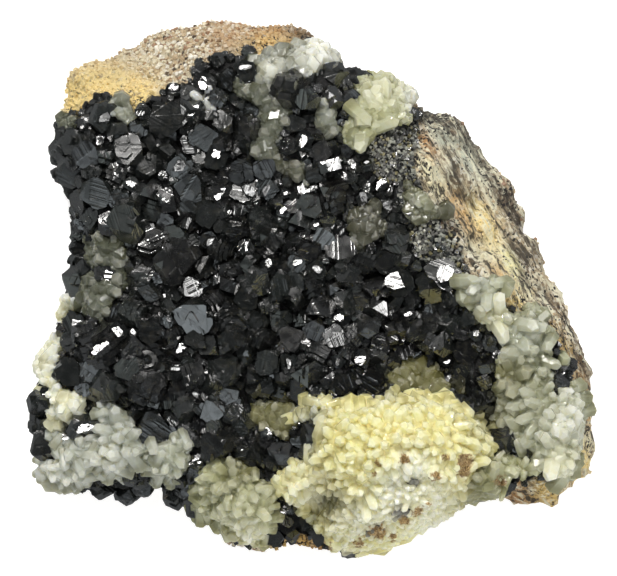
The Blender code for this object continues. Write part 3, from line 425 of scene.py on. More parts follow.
# How low a crust reaches: its foot's height where the shoulder has no room for it and where the room is full,
# and how far the rock may hang over, as the least upward part of its normal
CRUST_FOOT_BARE = 17.0
CRUST_FOOT_FULL = 9.0
FULL_ROOM = 1.8
LEAST_LEVEL = -0.35


def outline_reach(degrees):
    """Distance from the middle to the rock's edge in a direction."""
    known = sorted((math.degrees(math.atan2(y, x)) % 360, math.hypot(x, y)) for x, y in OUTLINE)
    reach = np.interp(degrees, [k[0] for k in known], [k[1] for k in known], period=360)
    return reach - shoulder(degrees)[2]


def around(rows, column, degrees):
    """One column of a table that goes round the rim by direction, between its rows."""
    return np.interp(degrees, [row[0] for row in rows], [row[column] for row in rows], period=360)


def swell(degrees):
    return around(RIM_SWELL, 1, degrees)


def shoulder(degrees):
    """Width and depth of the fall to the edge, and the room for a crust, in a direction."""
    return [around(SHOULDERS, column, degrees) for column in (1, 2, 3)]


def bearing(x, y):
    return np.degrees(np.arctan2(y, x)) % 360


def rim_is_bare(degrees):
    """Whether a direction is one of those in which the right rim is bare."""
    first, last = BARE_DIRECTIONS
    return (degrees - first) % 360 < last - first


def rough(points):
    values = []
    for point in points:
        place = Vector(point)
        coarse = noise.noise(place / COARSE_SCALE) * COARSE_ROUGH
        values.append(coarse + noise.noise(place / FINE_SCALE) * FINE_ROUGH)
    return np.array(values)


def top_height(x, y):
    degrees = bearing(x, y)
    width, depth, _ = shoulder(degrees)
    rise = sum(up * np.exp(-((x - cx) ** 2 + (y - cy) ** 2) / radius**2) for cx, cy, radius, up in RELIEF)
    inwards = outline_reach(degrees) * EDGE_SHARE - np.hypot(x, y)
    fall = np.clip(1 - inwards / width, 0, 1)
    level = np.full_like(x, BASE_HEIGHT)
    return level + rise - depth * fall + rough(np.stack([x, y, level], axis=1))


def broken(points):
    """Moves points that stand outside a flat break onto it."""
    for toward, slope, distance in BREAKS:
        level = math.cos(math.radians(slope))
        normal = np.array([math.cos(math.radians(toward)) * level, math.sin(math.radians(toward)) * level,
                           -math.sin(math.radians(slope))])
        over = np.maximum(0, (points - BREAK_CENTRE) @ normal - distance)
        points = points - over[:, None] * normal
    return points


def rock_points(angle, way):
    """Points of the rock's surface, on ways from the top's middle at 0, over the edge, to the back's at 1."""
    degrees = np.degrees(angle) % 360
    reach = outline_reach(degrees)
    out = np.stack([np.cos(angle), np.sin(angle)], axis=1)
    down = np.clip((way - TOP_END) / (WALL_END - TOP_END), 0, 1)
    bulge = 1 - (EDGE_SHARE + FOOT_SHARE) / 2
    share = np.where(way <= TOP_END, EDGE_SHARE * way / TOP_END,
                     EDGE_SHARE + (FOOT_SHARE - EDGE_SHARE) * down + bulge * np.sin(math.pi * down))
    share = np.where(way > WALL_END, FOOT_SHARE * ((1 - way) / (1 - WALL_END)) ** BACK_SPREAD, share)
    rim = out * (reach * np.where(way <= TOP_END, share, EDGE_SHARE))[:, None]
    height = top_height(rim[:, 0], rim[:, 1]) * (1 - down)
    points = np.column_stack([out * (reach * share)[:, None], height])
    wall = (way > TOP_END) & (way <= WALL_END)
    dent = np.zeros(len(way))
    dent[wall] = rough(points[wall] + [0, 0, 50]) * np.sin(math.pi * down[wall])
    points[:, :2] += out * dent[:, None]
    below = way > TOP_END
    points[below] = broken(points[below])
    return points


def inside(outline, x, y):
    """Which of many places are inside an outline, by counting the edges to their right."""
    found = np.zeros(len(x), bool)
    for (x1, y1), (x2, y2) in zip(outline, outline[1:] + outline[:1]):
        if y1 != y2:
            found ^= ((y1 > y) != (y2 > y)) & (x < (x2 - x1) * (y - y1) / (y2 - y1) + x1)
    return found


def edges_of(outlines):
    """The starts and runs of all the edges of some outlines."""
    starts = np.array([corner for outline in outlines for corner in outline], float)
    ends = np.array([corner for outline in outlines for corner in outline[1:] + outline[:1]], float)
    return starts, ends - starts


def nearest_edge(edges, places):
    """For each place of the plan, how far the nearest edge is and the direction to it."""
    starts, runs = edges
    apart = places[:, None, :] - starts
    share = np.clip((apart * runs).sum(axis=2) / (runs**2).sum(axis=1), 0, 1)
    gaps = share[:, :, None] * runs - apart
    away = np.hypot(gaps[:, :, 0], gaps[:, :, 1])
    nearest = np.argmin(away, axis=1)
    rows = np.arange(len(places))
    return away[rows, nearest], gaps[rows, nearest] / np.maximum(away[rows, nearest, None], 1e-6)


def field_of_noise(points, scale, octaves, seed):
    """Fractal noise at each point, about -1 to 1."""
    shift = Vector((seed * 17.3, seed * 5.1, seed * 9.7))
    return np.array([noise.fractal(Vector(point) / scale + shift, 0.8, 2.0, octaves) for point in points])


# The right side of the rock is streaked: the streaks' direction, the one across them, and how they are drawn
STREAK_ALONG = (0.47, -0.88, 0.0)
STREAK_ACROSS = (0.88, 0.47, 0.0)
STREAK_AXES = np.array([STREAK_ALONG, STREAK_ACROSS, (0.0, 0.0, 1.0)]).T
STREAK_SCALES = np.array([0.3, 1.0, 0.6])
STREAKED_FROM = 17.0


def streak_share(points):
    """How streaked the rock is: fully on its right side, not at all left of the middle."""
    return np.clip((points[:, 0] - 8) / 8, 0, 1)


# The rim's swells begin at the first share of the way from the middle to the edge, and are full at the second
SWELL_FROM = 0.80
SWELL_FULL = 0.95

# How ragged a crust's border is: how far it wanders, and over what distance
BORDER_WANDER = 0.8
BORDER_SCALE = 2.5

# How far a crust stands above the rock as a share of its thickness, and how rough it and the bare rock are
QUARTZ_RISE = 1.3
ORE_RISE = 0.6
QUARTZ_ROUGH = 0.3
ORE_ROUGH = 0.25
ROCK_ROUGH = 0.75
STREAK_ROUGH = (0.9, 0.35)


class Surface:
    """The rock's surface as a fine grid, with the crust that covers each part of it."""

    def __init__(self):
        turns = np.arange(ROCK_SEGMENTS) * 2 * math.pi / ROCK_SEGMENTS
        ways = ROCK_WAYS[1:-1]
        self.rings = len(ways)
        angle = np.tile(turns, self.rings)
        way = np.repeat(ways, ROCK_SEGMENTS)
        poles = rock_points(np.zeros(2), np.array([0.0, 1.0]))
        self.points = np.vstack([rock_points(angle, way), poles])
        degrees = bearing(self.points[:, 0], self.points[:, 1])
        across = np.hypot(self.points[:, 0], self.points[:, 1])
        near_rim = np.clip((across / outline_reach(degrees) - SWELL_FROM) / (SWELL_FULL - SWELL_FROM), 0, 1)
        self.points[:, :2] *= (1 + swell(degrees) * near_rim / np.maximum(across, 1))[:, None]
        self.faces = self.make_faces()
        self.normals = self.find_normals()
        self.owner = self.find_owners()
        self.raise_crusts()

    def make_faces(self):
        ring = np.arange(ROCK_SEGMENTS)
        beside = (ring + 1) % ROCK_SEGMENTS
        faces = []
        for low in range(self.rings - 1):
            inner, outer = low * ROCK_SEGMENTS, (low + 1) * ROCK_SEGMENTS
            faces += np.stack([inner + ring, outer + ring, outer + beside, inner + beside], axis=1).tolist()
        last, top, back = (self.rings - 1) * ROCK_SEGMENTS, len(self.points) - 2, len(self.points) - 1
        faces += [[top, a, b] for a, b in zip(ring.tolist(), beside.tolist())]
        faces += [[back, last + b, last + a] for a, b in zip(ring.tolist(), beside.tolist())]
        return faces

    def find_normals(self):
        mesh = bpy.data.meshes.new("normals")
        mesh.from_pydata(self.points.tolist(), [], self.faces)
        normals = np.zeros(len(self.points) * 3, np.float32)
        mesh.vertex_normals.foreach_get("vector", normals)
        bpy.data.meshes.remove(mesh)
        return normals.reshape(-1, 3).astype(float)

    def find_owners(self):
        """The index of each point's crust in CRUSTS, or -1 on bare rock, with a ragged border."""
        x, y, z = self.points.T
        degrees = bearing(x, y)
        foot = CRUST_FOOT_BARE + (CRUST_FOOT_FULL - CRUST_FOOT_BARE) * shoulder(degrees)[2] / FULL_ROOM
        edge = outline_reach(degrees) + swell(degrees) - BARE_OF_CRUST
        above = ~rim_is_bare(degrees) | (np.hypot(x, y) < edge)
        above &= (z > foot + 3 * field_of_noise(self.points, 9.0, 2, 3)) & (self.normals[:, 2] > LEAST_LEVEL)
        x = x + field_of_noise(self.points, BORDER_SCALE, 3, 1) * BORDER_WANDER
        y = y + field_of_noise(self.points, BORDER_SCALE, 3, 2) * BORDER_WANDER
        for outline in BARE:
            above &= ~inside(outline, x, y)
        owner = np.full(len(self.points), -1)
        for index in reversed(range(len(CRUSTS))):
            owner[above & crust_covers(CRUSTS[index], x, y)] = index
        return owner

    def pale(self):
        """Which points quartz covers."""
        return np.isin(self.owner, [CRUSTS.index(name) for name in QUARTZ])

    def raise_crusts(self):
        """Lifts the covered parts to the crusts' own surface, and roughens the bare rock."""
        covered = self.owner >= 0
        detail = field_of_noise(self.points, 3.0, 6, 4)
        streaked = streak_share(self.points)
        ridges = field_of_noise(self.points @ STREAK_AXES * STREAK_SCALES, 2.2, 5, 7)
        drawn = STREAK_ROUGH[0] * ridges + STREAK_ROUGH[1] * detail
        rocky = ROCK_ROUGH * detail * (1 - streaked) + drawn * streaked
        ore = CRUST * ORE_RISE + ORE_ROUGH * detail
        quartz = CRUST * QUARTZ_RISE + QUARTZ_ROUGH * detail
        lift = np.where(self.pale(), quartz, np.where(covered, ore, rocky))
        upward = np.clip(self.normals[:, 2] / 0.7, 0.1, 1)
        lift = np.where(covered, lift * upward, lift)
        self.points = self.points + self.normals * lift[:, None]
        self.points[:, 2] = np.maximum(self.points[:, 2], 0)


def crust_covers(name, x, y):
    """Which places a crust's own outline takes in."""
    if name in QUARTZ:
        return np.any([inside(outline, x, y) for outline in QUARTZ[name]], axis=0)
    outline = FIELD if name == "sphalerite_field" else SPHALERITE_APART[name]
    if len(outline) == 1:
        cx, cy, radius = outline[0]
        return np.hypot(x - cx, y - cy) < radius
    return inside(outline, x, y)


CRUSTS = [*SPHALERITE_APART, *QUARTZ, "sphalerite_field"]


class Crowd:
    """Places that are taken, kept in cells so that the near ones are found fast."""

    def __init__(self, cell):
        self.cell = cell
        self.cells = {}

    def key(self, place):
        return tuple(int(math.floor(value / self.cell)) for value in place)

    def free(self, place, radius, closeness):
        a, b, c = self.key(place)
        for near in itertools.product((a - 1, a, a + 1), (b - 1, b, b + 1), (c - 1, c, c + 1)):
            for x, y, z, other in self.cells.get(near, ()):
                apart = (radius + other) * closeness
                if (x - place[0]) ** 2 + (y - place[1]) ** 2 + (z - place[2]) ** 2 < apart * apart:
                    return False
        return True

    def add(self, place, radius):
        self.cells.setdefault(self.key(place), []).append((*place, radius))


class Growth:
    """Crystals gathered into one mesh, each with its own place, turn, size, tone and tint."""

    def __init__(self):
        self.corners, self.faces, self.corner_owners, self.face_owners = [], [], [], []
        self.places, self.turns, self.sizes, self.tones, self.tints = [], [], [], [], []
        self.count = 0

    def add(self, form, place, size, rotation, tone, tint=(1, 1, 1, 0)):
        corners, faces = form
        turn = np.array(rotation)
        number = len(self.places)
        self.corners.append((corners * size) @ turn.T + place)
        self.corner_owners.append(np.full(len(corners), number))
        self.faces += [[self.count + index for index in face] for face in faces]
        self.face_owners += [number] * len(faces)
        self.count += len(corners)
        self.places.append(place)
        self.turns.append(turn)
        self.sizes.append(size)
        self.tones.append(tone)
        self.tints.append(tint)

    def make(self, name, node, slot, material, grid=None, share=1.0):
        """The piece; with a grid it is one closed surface round all the crystals, traced on that grid."""
        corners = np.vstack(self.corners)
        owners = np.concatenate(self.corner_owners)
        mesh = bpy.data.meshes.new(name)
        mesh.from_pydata((corners * MM).tolist(), [], self.faces)
        if grid:
            near = BVHTree.FromPolygons(corners.tolist(), self.faces)
            mesh = merged(mesh, grid, share)
            corners = np.array([vertex.co for vertex in mesh.vertices]) / MM
            owners = np.array(self.face_owners)[[near.find_nearest(corner)[2] for corner in corners]]
        apart = corners - np.array(self.places)[owners]
        local = np.einsum("ij,ijk->ik", apart, np.array(self.turns)[owners])
        add_attribute(mesh, "crystal_place", "FLOAT_VECTOR", local / np.array(self.sizes)[owners, None])
        add_attribute(mesh, "crystal_tone", "FLOAT", np.array(self.tones)[owners])
        add_attribute(mesh, "crystal_tint", "FLOAT_COLOR", np.array(self.tints)[owners])
        add_attribute(mesh, "crystal_stain", "FLOAT", rust_at(corners))
        finish_piece(name, mesh, node, material)


def rust_at(points):
    """How rusty the quartz is at each point."""
    rust = np.zeros(len(points))
    for x, y, radius, strength in QUARTZ_STAINS:
        rust = np.maximum(rust, strength * nearness(points, x, y, radius))
    return rust


def nearness(points, x, y, radius):
    """1 at a place of the plan, and less the further a point is from it."""
    return np.exp(-((points[:, 0] - x) ** 2 + (points[:, 1] - y) ** 2) / radius**2)


def merged(mesh, grid, share):
    """The outer surface round overlapping solids, without the parts inside, with a share of its triangles."""
    piece = bpy.data.objects.new(mesh.name + "_parts", mesh)
    bpy.context.scene.collection.objects.link(piece)
    remesh = piece.modifiers.new("merged", "REMESH")
    remesh.mode = "VOXEL"
    remesh.voxel_size = grid * MM
    piece.modifiers.new("fewer", "DECIMATE").ratio = share
    result = bpy.data.meshes.new_from_object(piece.evaluated_get(bpy.context.evaluated_depsgraph_get()))
    bpy.data.objects.remove(piece)
    return result


VALUE_FIELDS = {"FLOAT": "value", "FLOAT_VECTOR": "vector", "FLOAT_COLOR": "color"}


def add_attribute(mesh, name, kind, values):
    layer = mesh.attributes.new(name, kind, "POINT")
    layer.data.foreach_set(VALUE_FIELDS[kind], np.ascontiguousarray(values, np.float32).ravel())


def finish_piece(name, mesh, node, material):
    """Makes an object of a mesh and puts it in the place of the part's own node."""
    mesh.materials.append(material)
    piece = bpy.data.objects.new(name, mesh)
    bpy.context.scene.collection.objects.link(piece)
    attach(piece, "root")
    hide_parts(node)


def convex_form(planes, front):
    """A convex form from its planes, each a direction and a distance, turned so that front points up."""
    normals = np.array([Vector(direction).normalized() for direction, _ in planes])
    distances = np.array([distance for _, distance in planes])
    corners = []
    for trio in itertools.combinations(range(len(planes)), 3):
        three = normals[list(trio)]
        if abs(np.linalg.det(three)) < 1e-6:
            continue
        corner = np.linalg.solve(three, distances[list(trio)])
        new = all(np.linalg.norm(corner - other) > 1e-4 for other in corners)
        if new and np.all(normals @ corner <= distances + 1e-5):
            corners.append(corner)
    corners = np.array(corners)
    faces = []
    for normal, distance in zip(normals, distances):
        on_face = [index for index, corner in enumerate(corners) if abs(normal @ corner - distance) < 1e-4]
        if len(on_face) >= 3:
            middle = corners[on_face].mean(axis=0)
            first = corners[on_face[0]] - middle
            side = np.cross(normal, first)
            turns = {index: math.atan2((corners[index] - middle) @ side, (corners[index] - middle) @ first)
                     for index in on_face}
            faces.append(sorted(on_face, key=turns.get))
    turn = np.array(Vector(front).rotation_difference(Vector((0, 0, 1))).to_matrix())
    return corners @ turn.T, faces


def joined(*forms):
    """Several forms as one, side by side or grown through each other."""
    corners, faces, count = [], [], 0
    for form_corners, form_faces in forms:
        corners.append(form_corners)
        faces += [[count + index for index in face] for face in form_faces]
        count += len(form_corners)
    return np.vstack(corners), faces


def moved(form, size, turn, shift):
    """A form made smaller, turned about its upright axis and shifted."""
    rotation = np.array(Matrix.Rotation(math.radians(turn), 3, "Z"))
    return form[0] * size @ rotation.T + np.array(shift), form[1]


# The directions of the crystals' faces, in the crystal's own axes
SIGNS = list(itertools.product((1, -1), repeat=2))
RHOMBIC = [(a, b, 0) for a, b in SIGNS] + [(a, 0, b) for a, b in SIGNS] + [(0, a, b) for a, b in SIGNS]
TETRAHEDRAL = [(1, 1, 1), (1, -1, -1), (-1, 1, -1), (-1, -1, 1)]
OPPOSITE = [(-a, -b, -c) for a, b, c in TETRAHEDRAL]
PLATE_RING = [(1, -1, 0), (0, 1, -1), (-1, 0, 1), (-1, 1, 0), (0, -1, 1), (1, 0, -1)]


def uneven(planes, dice, share):
    return [(direction, distance * dice.uniform(1 - share, 1 + share)) for direction, distance in planes]


def block_form(dice):
    planes = uneven([(way, 0.84) for way in RHOMBIC], dice, 0.22)
    planes += uneven([(way, 0.97) for way in TETRAHEDRAL[:1] + OPPOSITE[:1]], dice, 0.05)
    return convex_form(planes, (1, 1, 0))


def wedge_form(dice):
    planes = uneven([(way, 0.58) for way in TETRAHEDRAL], dice, 0.2)
    planes += uneven([(way, 0.95) for way in OPPOSITE], dice, 0.15)
    planes += uneven([(way, 0.92) for way in RHOMBIC[:2]], dice, 0.1)
    return convex_form(planes, (1, 1, 1))


def plate_form(dice):
    planes = [((1, 1, 1), 0.42), ((-1, -1, -1), 0.42)]
    planes += uneven([(way, 0.80) for way in PLATE_RING], dice, 0.2)
    planes += uneven([(way, 0.80) for way in OPPOSITE[1:]], dice, 0.15)
    return convex_form(planes, (1, 1, 1))


LAMELLAE = 5


def lamellar_form(dice):
    """Thin twin lamellae side by side, whose ends make fine parallel ridges."""
    slabs = []
    for slab in range(LAMELLAE):
        across = (slab + 0.5) / LAMELLAE * 1.5 - 0.75
        reach = math.sqrt(max(0.2, 1 - across * across))
        planes = [((1, 0, 0), across + 0.13), ((-1, 0, 0), -across + 0.13), ((0, 0, -1), 0.7)]
        planes += uneven([((0, 1, 1), 0.75 * reach), ((0, -1, 1), 0.75 * reach), ((0, 0, 1), 0.74 * reach),
                          ((0, 1, 0), 0.85 * reach), ((0, -1, 0), 0.85 * reach)], dice, 0.06)
        slabs.append(convex_form(planes, (0, 0, 1)))
    return joined(*slabs)


def stretched(form, share):
    """A form made narrower in one direction."""
    return form[0] * np.array([1, share, 1]), form[1]


def outward(dice, lowest):
    """A random direction that doesn't point lower than a limit."""
    while True:
        way = Vector([dice.gauss(0, 1) for _ in range(3)]).normalized()
        if way.z > lowest:
            return np.array(way)


def grown_group(maker, dice, count, flatness):
    """A crystal with smaller ones grown in step with it on its faces, and some twins turned by 60 degrees."""
    parts = [maker(dice)]
    for number in range(count):
        size = dice.uniform(0.30, 0.60)
        shift = outward(dice, -0.1) * (1.15 - size) * np.array([1, 1, flatness])
        parts.append(moved(maker(dice), size, 60 if number % 3 == 2 else 0, shift))
    return joined(*parts)


# Each habit's form and how far its smaller crystals stand up, and the number of variants
HABITS = {
    "block": (block_form, 1.0), "wedge": (wedge_form, 0.9), "plate": (plate_form, 0.5),
    "lamellar": (lamellar_form, 0.8),
}
VARIANTS = 9
QUARTZ_VARIANTS = 12
QUARTZ_SLOPE = math.radians(51.8)


def sphalerite_forms(dice):
    """Variants of each habit: groups for the large crystals, and single ones and pairs for the small."""
    groups, pairs = {}, {}
    for name, (maker, flatness) in HABITS.items():
        groups[name] = [grown_group(maker, dice, dice.choice((2, 3, 4)), flatness) for _ in range(VARIANTS)]
        pairs[name] = [grown_group(maker, dice, dice.choice((0, 1)), flatness) for _ in range(VARIANTS)]
    return groups, pairs


def quartz_form(dice):
    """A six-sided prism at unit radius, with six uneven faces to the point."""
    sides = [(math.cos(math.radians(60 * n)), math.sin(math.radians(60 * n))) for n in range(6)]
    length = dice.uniform(2.2, 3.3)
    planes = [((x, y, 0.06), dice.uniform(0.72, 1.0)) for x, y in sides]
    for number, (x, y) in enumerate(sides):
        reach = length + (0.45 if number % 2 else 0.0) + dice.uniform(-0.25, 0.25)
        planes.append(((x * math.sin(QUARTZ_SLOPE), y * math.sin(QUARTZ_SLOPE), math.cos(QUARTZ_SLOPE)),
                       reach * math.cos(QUARTZ_SLOPE)))
    planes.append(((0, 0, -1), 0.9))
    return convex_form(planes, (0, 0, 1))


def aim(lean, toward, turn):
    """Rotation that turns about +Z and then leans +Z from the vertical toward a direction, in degrees."""
    heading = math.radians(toward)
    axis = Vector((-math.sin(heading), math.cos(heading), 0))
    return Matrix.Rotation(math.radians(lean), 3, axis) @ Matrix.Rotation(math.radians(turn), 3, "Z")


def facing_light(facing, spread, dice):
    """Rotation that makes a main face mirror a light at the camera, or nearly so."""
    lean, toward = FACINGS[facing]
    lean += dice.uniform(-spread, spread)
    return aim(lean, toward + dice.uniform(-2, 2) * spread, dice.uniform(0, 360))


def upright_on(normal, spread, dice):
    """Rotation that takes +Z near to a normal, with a random turn and up to a spread of lean, in degrees."""
    wander = aim(dice.uniform(0, spread), dice.uniform(0, 360), dice.uniform(0, 360))
    return Vector((0, 0, 1)).rotation_difference(Vector(normal)).to_matrix() @ wander


class Nodes:
    """A short way to write a material's nodes: each call makes a node and links or sets its inputs."""

    def __init__(self, name):
        self.material = bpy.data.materials.new(name)
        self.material.use_nodes = True
        self.tree = self.material.node_tree
        self.shader = self.tree.nodes["Principled BSDF"]

    def put(self, socket, value):
        if isinstance(value, bpy.types.NodeSocket):
            self.tree.links.new(value, socket)
        elif isinstance(value, tuple) and socket.type == "RGBA":
            socket.default_value = (*value, 1)
        else:
            socket.default_value = value

    def add(self, kind, inputs=None, output=0, **settings):
        node = self.tree.nodes.new(kind)
        for name, value in settings.items():
            setattr(node, name, value)
        for name, value in (inputs or {}).items():
            self.put(node.inputs[name], value)
        return node.outputs[output]

    def set(self, **values):
        """Links or sets the shader's own inputs, with underscores for the spaces in their names."""
        for name, value in values.items():
            self.put(self.shader.inputs[name.replace("_", " ")], value)

    def attribute(self, name, output):
        return self.add("ShaderNodeAttribute", output=output, attribute_name=name)

    def place(self):
        return self.add("ShaderNodeTexCoord", output="Object")

    def mix(self, factor, first, second, blend="MIX"):
        node = self.tree.nodes.new("ShaderNodeMix")
        node.data_type = "RGBA"
        node.blend_type = blend
        for index, value in ((0, factor), (6, first), (7, second)):
            self.put(node.inputs[index], value)
        return node.outputs[2]

    def ramp(self, value, low, high, start=0.0, end=1.0):
        inputs = {"Value": value, "From Min": low, "From Max": high, "To Min": start, "To Max": end}
        return self.add("ShaderNodeMapRange", inputs)

    def noise(self, scale, detail, vector, roughness=0.5):
        inputs = {"Vector": vector, "Scale": scale, "Detail": detail, "Roughness": roughness}
        return self.add("ShaderNodeTexNoise", inputs, "Fac")

    def noise_along(self, value, scale):
        """Noise in one dimension."""
        return self.add("ShaderNodeTexNoise", {"W": value, "Scale": scale}, noise_dimensions="1D")

    def cells(self, scale, vector):
        """A random value for each cell of a pattern."""
        inputs = {"Vector": vector, "Scale": scale, "Randomness": 1.0}
        colour = self.add("ShaderNodeTexVoronoi", inputs, "Color")
        return self.add("ShaderNodeSeparateColor", {"Color": colour})

    def math(self, operation, first, second=None):
        inputs = {0: first} if second is None else {0: first, 1: second}
        return self.add("ShaderNodeMath", inputs, operation=operation)

    def plus(self, first, second):
        return self.math("ADD", first, second)

    def minus(self, first, second):
        return self.math("SUBTRACT", first, second)

    def times(self, first, second):
        return self.math("MULTIPLY", first, second)

    def clamped(self, value):
        return self.add("ShaderNodeClamp", {"Value": value})

    def vector(self, operation, first, second=None, **inputs):
        inputs = {0: first, **inputs}
        if second is not None:
            inputs[1] = second
        return self.add("ShaderNodeVectorMath", inputs, "Vector", operation=operation)

    def dot(self, first, second):
        return self.add("ShaderNodeVectorMath", {0: first, 1: second}, "Value", operation="DOT_PRODUCT")

    def combined(self, x, y, z):
        return self.add("ShaderNodeCombineXYZ", {"X": x, "Y": y, "Z": z})

    def height_of(self, vector):
        return self.add("ShaderNodeSeparateXYZ", {"Vector": vector}, "Z")

    def bump(self, height, strength, distance):
        return self.add("ShaderNodeBump", {"Height": height, "Strength": strength, "Distance": distance})


# The rock's own colours, and the painted shade of its pits
DUN = (0.42, 0.32, 0.19)
TAN = (0.64, 0.56, 0.40)
CHALK = (0.78, 0.74, 0.62)
BROWN = (0.20, 0.12, 0.07)
PALE_STREAK = (0.80, 0.77, 0.58)
DARK_STREAK = (0.06, 0.05, 0.035)
ORE_SPECK = (0.025, 0.022, 0.02)
# Painted shade: the dark brown put into the pits of the rock's surface, where shade falls
PIT_SHADE = (0.16, 0.11, 0.06)
UNDER_ORE = (0.010, 0.010, 0.010)


def streak_noise(nodes, place):
    """Noise drawn out along the rock's streaks, with broader bands in it."""
    drawn = nodes.combined(nodes.times(nodes.dot(place, STREAK_ALONG), 0.22), nodes.dot(place, STREAK_ACROSS),
                           nodes.height_of(place))
    fine = nodes.noise(900.0, 6.0, drawn, roughness=0.7)
    bands = nodes.noise(420.0, 4.0, drawn, roughness=0.6)
    return nodes.plus(nodes.times(fine, 0.6), nodes.times(bands, 0.4))


def rock_material():
    """Granular tan rock with stains, streaks and specks, painted shade in its pits, and with the crusts' tones
    under the crystals.
    """
    nodes = Nodes("rock_looks")
    place = nodes.place()
    grains = nodes.cells(1900.0, place)
    patchy = nodes.noise(700.0, 6.0, place, roughness=0.65)
    streaks = streak_noise(nodes, place)
    streaked = nodes.attribute("streaked", "Fac")
    base = nodes.mix(nodes.ramp(nodes.noise(260.0, 6.0, place), 0.35, 0.65), DUN, TAN)
    base = nodes.mix(nodes.ramp(grains, 0.70, 0.78), base, CHALK)
    base = nodes.mix(nodes.ramp(grains, 0.20, 0.14), base, BROWN)
    spread = nodes.times(nodes.attribute("stain", "Alpha"), nodes.ramp(patchy, 0.35, 0.52, 0.3, 1.3))
    base = nodes.mix(nodes.clamped(spread), base, nodes.attribute("stain", "Color"))
    pale = nodes.times(streaked, nodes.ramp(streaks, 0.51, 0.57, 0.0, 0.8))
    base = nodes.mix(nodes.clamped(pale), base, PALE_STREAK)
    veins = nodes.times(streaked, nodes.ramp(streaks, 0.485, 0.44, 0.0, 0.95))
    base = nodes.mix(nodes.clamped(veins), base, DARK_STREAK)
    wanted = nodes.times(nodes.attribute("speck", "Fac"), nodes.ramp(patchy, 0.3, 0.6, 0.3, 1.3))
    wanted = nodes.times(wanted, nodes.ramp(streaked, 0.0, 1.0, 1.0, 0.35))
    dark = nodes.clamped(nodes.times(nodes.minus(wanted, nodes.cells(2600.0, place)), 12.0))
    base = nodes.mix(dark, base, ORE_SPECK)
    # Painted shade: darker where the noise that dents the surface is low, in its pits
    base = nodes.mix(nodes.ramp(patchy, 0.46, 0.30, 0.0, 0.6), base, PIT_SHADE)
    base = nodes.mix(nodes.attribute("dark_crust", "Fac"), base, UNDER_ORE)
    base = nodes.mix(nodes.attribute("pale_crust", "Fac"), base, nodes.attribute("crust_tint", "Color"))
    height = nodes.mix(nodes.times(streaked, 0.6), patchy, streaks)
    height = nodes.mix(0.4, height, nodes.noise(2400.0, 4.0, place))
    nodes.set(Base_Color=base, Roughness=nodes.ramp(patchy, 0.3, 0.7, 0.6, 0.9),
              Normal=nodes.bump(height, 1.0, 0.0010))
    return nodes.material


def grain_material():
    """Loose-looking grains of the rock, each with its own colour."""
    nodes = Nodes("grain_looks")
    fine = nodes.noise(4000.0, 3.0, nodes.place())
    colour = nodes.attribute("crystal_tint", "Color")
    base = nodes.mix(nodes.ramp(fine, 0.4, 0.6, 0.0, 0.35), colour, (0.55, 0.45, 0.32), "MULTIPLY")
    roughness = nodes.ramp(nodes.attribute("crystal_tone", "Fac"), 0.0, 1.0, 0.3, 0.9)
    nodes.set(Base_Color=base, Roughness=roughness, Normal=nodes.bump(fine, 0.5, 0.0002))
    return nodes.material


# How many cells of a sphalerite crystal's mosaic there are to its radius
MOSAIC_SCALE = 1.7


def twin_stripes(nodes, local, shifted, tone, other):
    """Stripes on part of a crystal, in a direction of its own."""
    third = nodes.math("FRACT", nodes.times(tone, 31.1))
    across = nodes.combined(nodes.ramp(other, 0, 1, -1, 1), nodes.ramp(third, 0, 1, -1, 1), 0.35)
    along = nodes.dot(local, across)
    wander = nodes.noise_along(nodes.plus(nodes.times(along, 2.2), tone), 1.0)
    stripes = nodes.math("PINGPONG", nodes.plus(nodes.times(along, 9.0), nodes.times(wander, 8.0)), 1.0)
    where = nodes.ramp(nodes.noise_along(nodes.dot(shifted, (0.5, -0.6, 0.62)), 1.6), 0.46, 0.50)
    return nodes.times(stripes, nodes.times(where, 0.16))


def mosaic(nodes, shifted):
    """Cells of a face that lean a little, each its own way."""
    inputs = {"Vector": shifted, "Scale": MOSAIC_SCALE}
    tilt = nodes.vector("SUBTRACT", nodes.add("ShaderNodeTexVoronoi", inputs, "Color"), (0.5, 0.5, 0.5))
    middle = nodes.add("ShaderNodeTexVoronoi", inputs, "Position")
    offset = nodes.vector("SUBTRACT", nodes.vector("SCALE", shifted, Scale=MOSAIC_SCALE),
                          nodes.vector("SCALE", middle, Scale=MOSAIC_SCALE))
    return nodes.dot(offset, tilt)


def sphalerite_material():
    """Black blende: a high index for its bright lustre, and stripes and a mosaic that follow each crystal."""
    nodes = Nodes("sphalerite_looks")
    local = nodes.attribute("crystal_place", "Vector")
    tone = nodes.attribute("crystal_tone", "Fac")
    other = nodes.math("FRACT", nodes.times(tone, 7.77))
    shifted = nodes.vector("ADD", local, nodes.times(tone, 40.0))
    waves = nodes.noise(1.3, 3.0, shifted)
    patches = nodes.noise(900.0, 4.0, nodes.place())
    base = nodes.mix(nodes.ramp(other, 0.0, 1.0), (0.003, 0.003, 0.003), (0.012, 0.014, 0.013))
    base = nodes.mix(nodes.ramp(patches, 0.52, 0.70, 0.0, 0.4), base, (0.045, 0.042, 0.032))
    height = nodes.plus(twin_stripes(nodes, local, shifted, tone, other),
                        nodes.plus(nodes.times(waves, 0.12), nodes.times(mosaic(nodes, shifted), 0.5)))
    gloss = nodes.plus(nodes.ramp(waves, 0.3, 0.7, 0.0, 0.12), nodes.ramp(tone, 0.0, 2.0, 0.08, 0.34))
    nodes.set(Base_Color=base, IOR=2.4, Roughness=gloss, Normal=nodes.bump(height, 1.0, 0.00013))
    return nodes.material


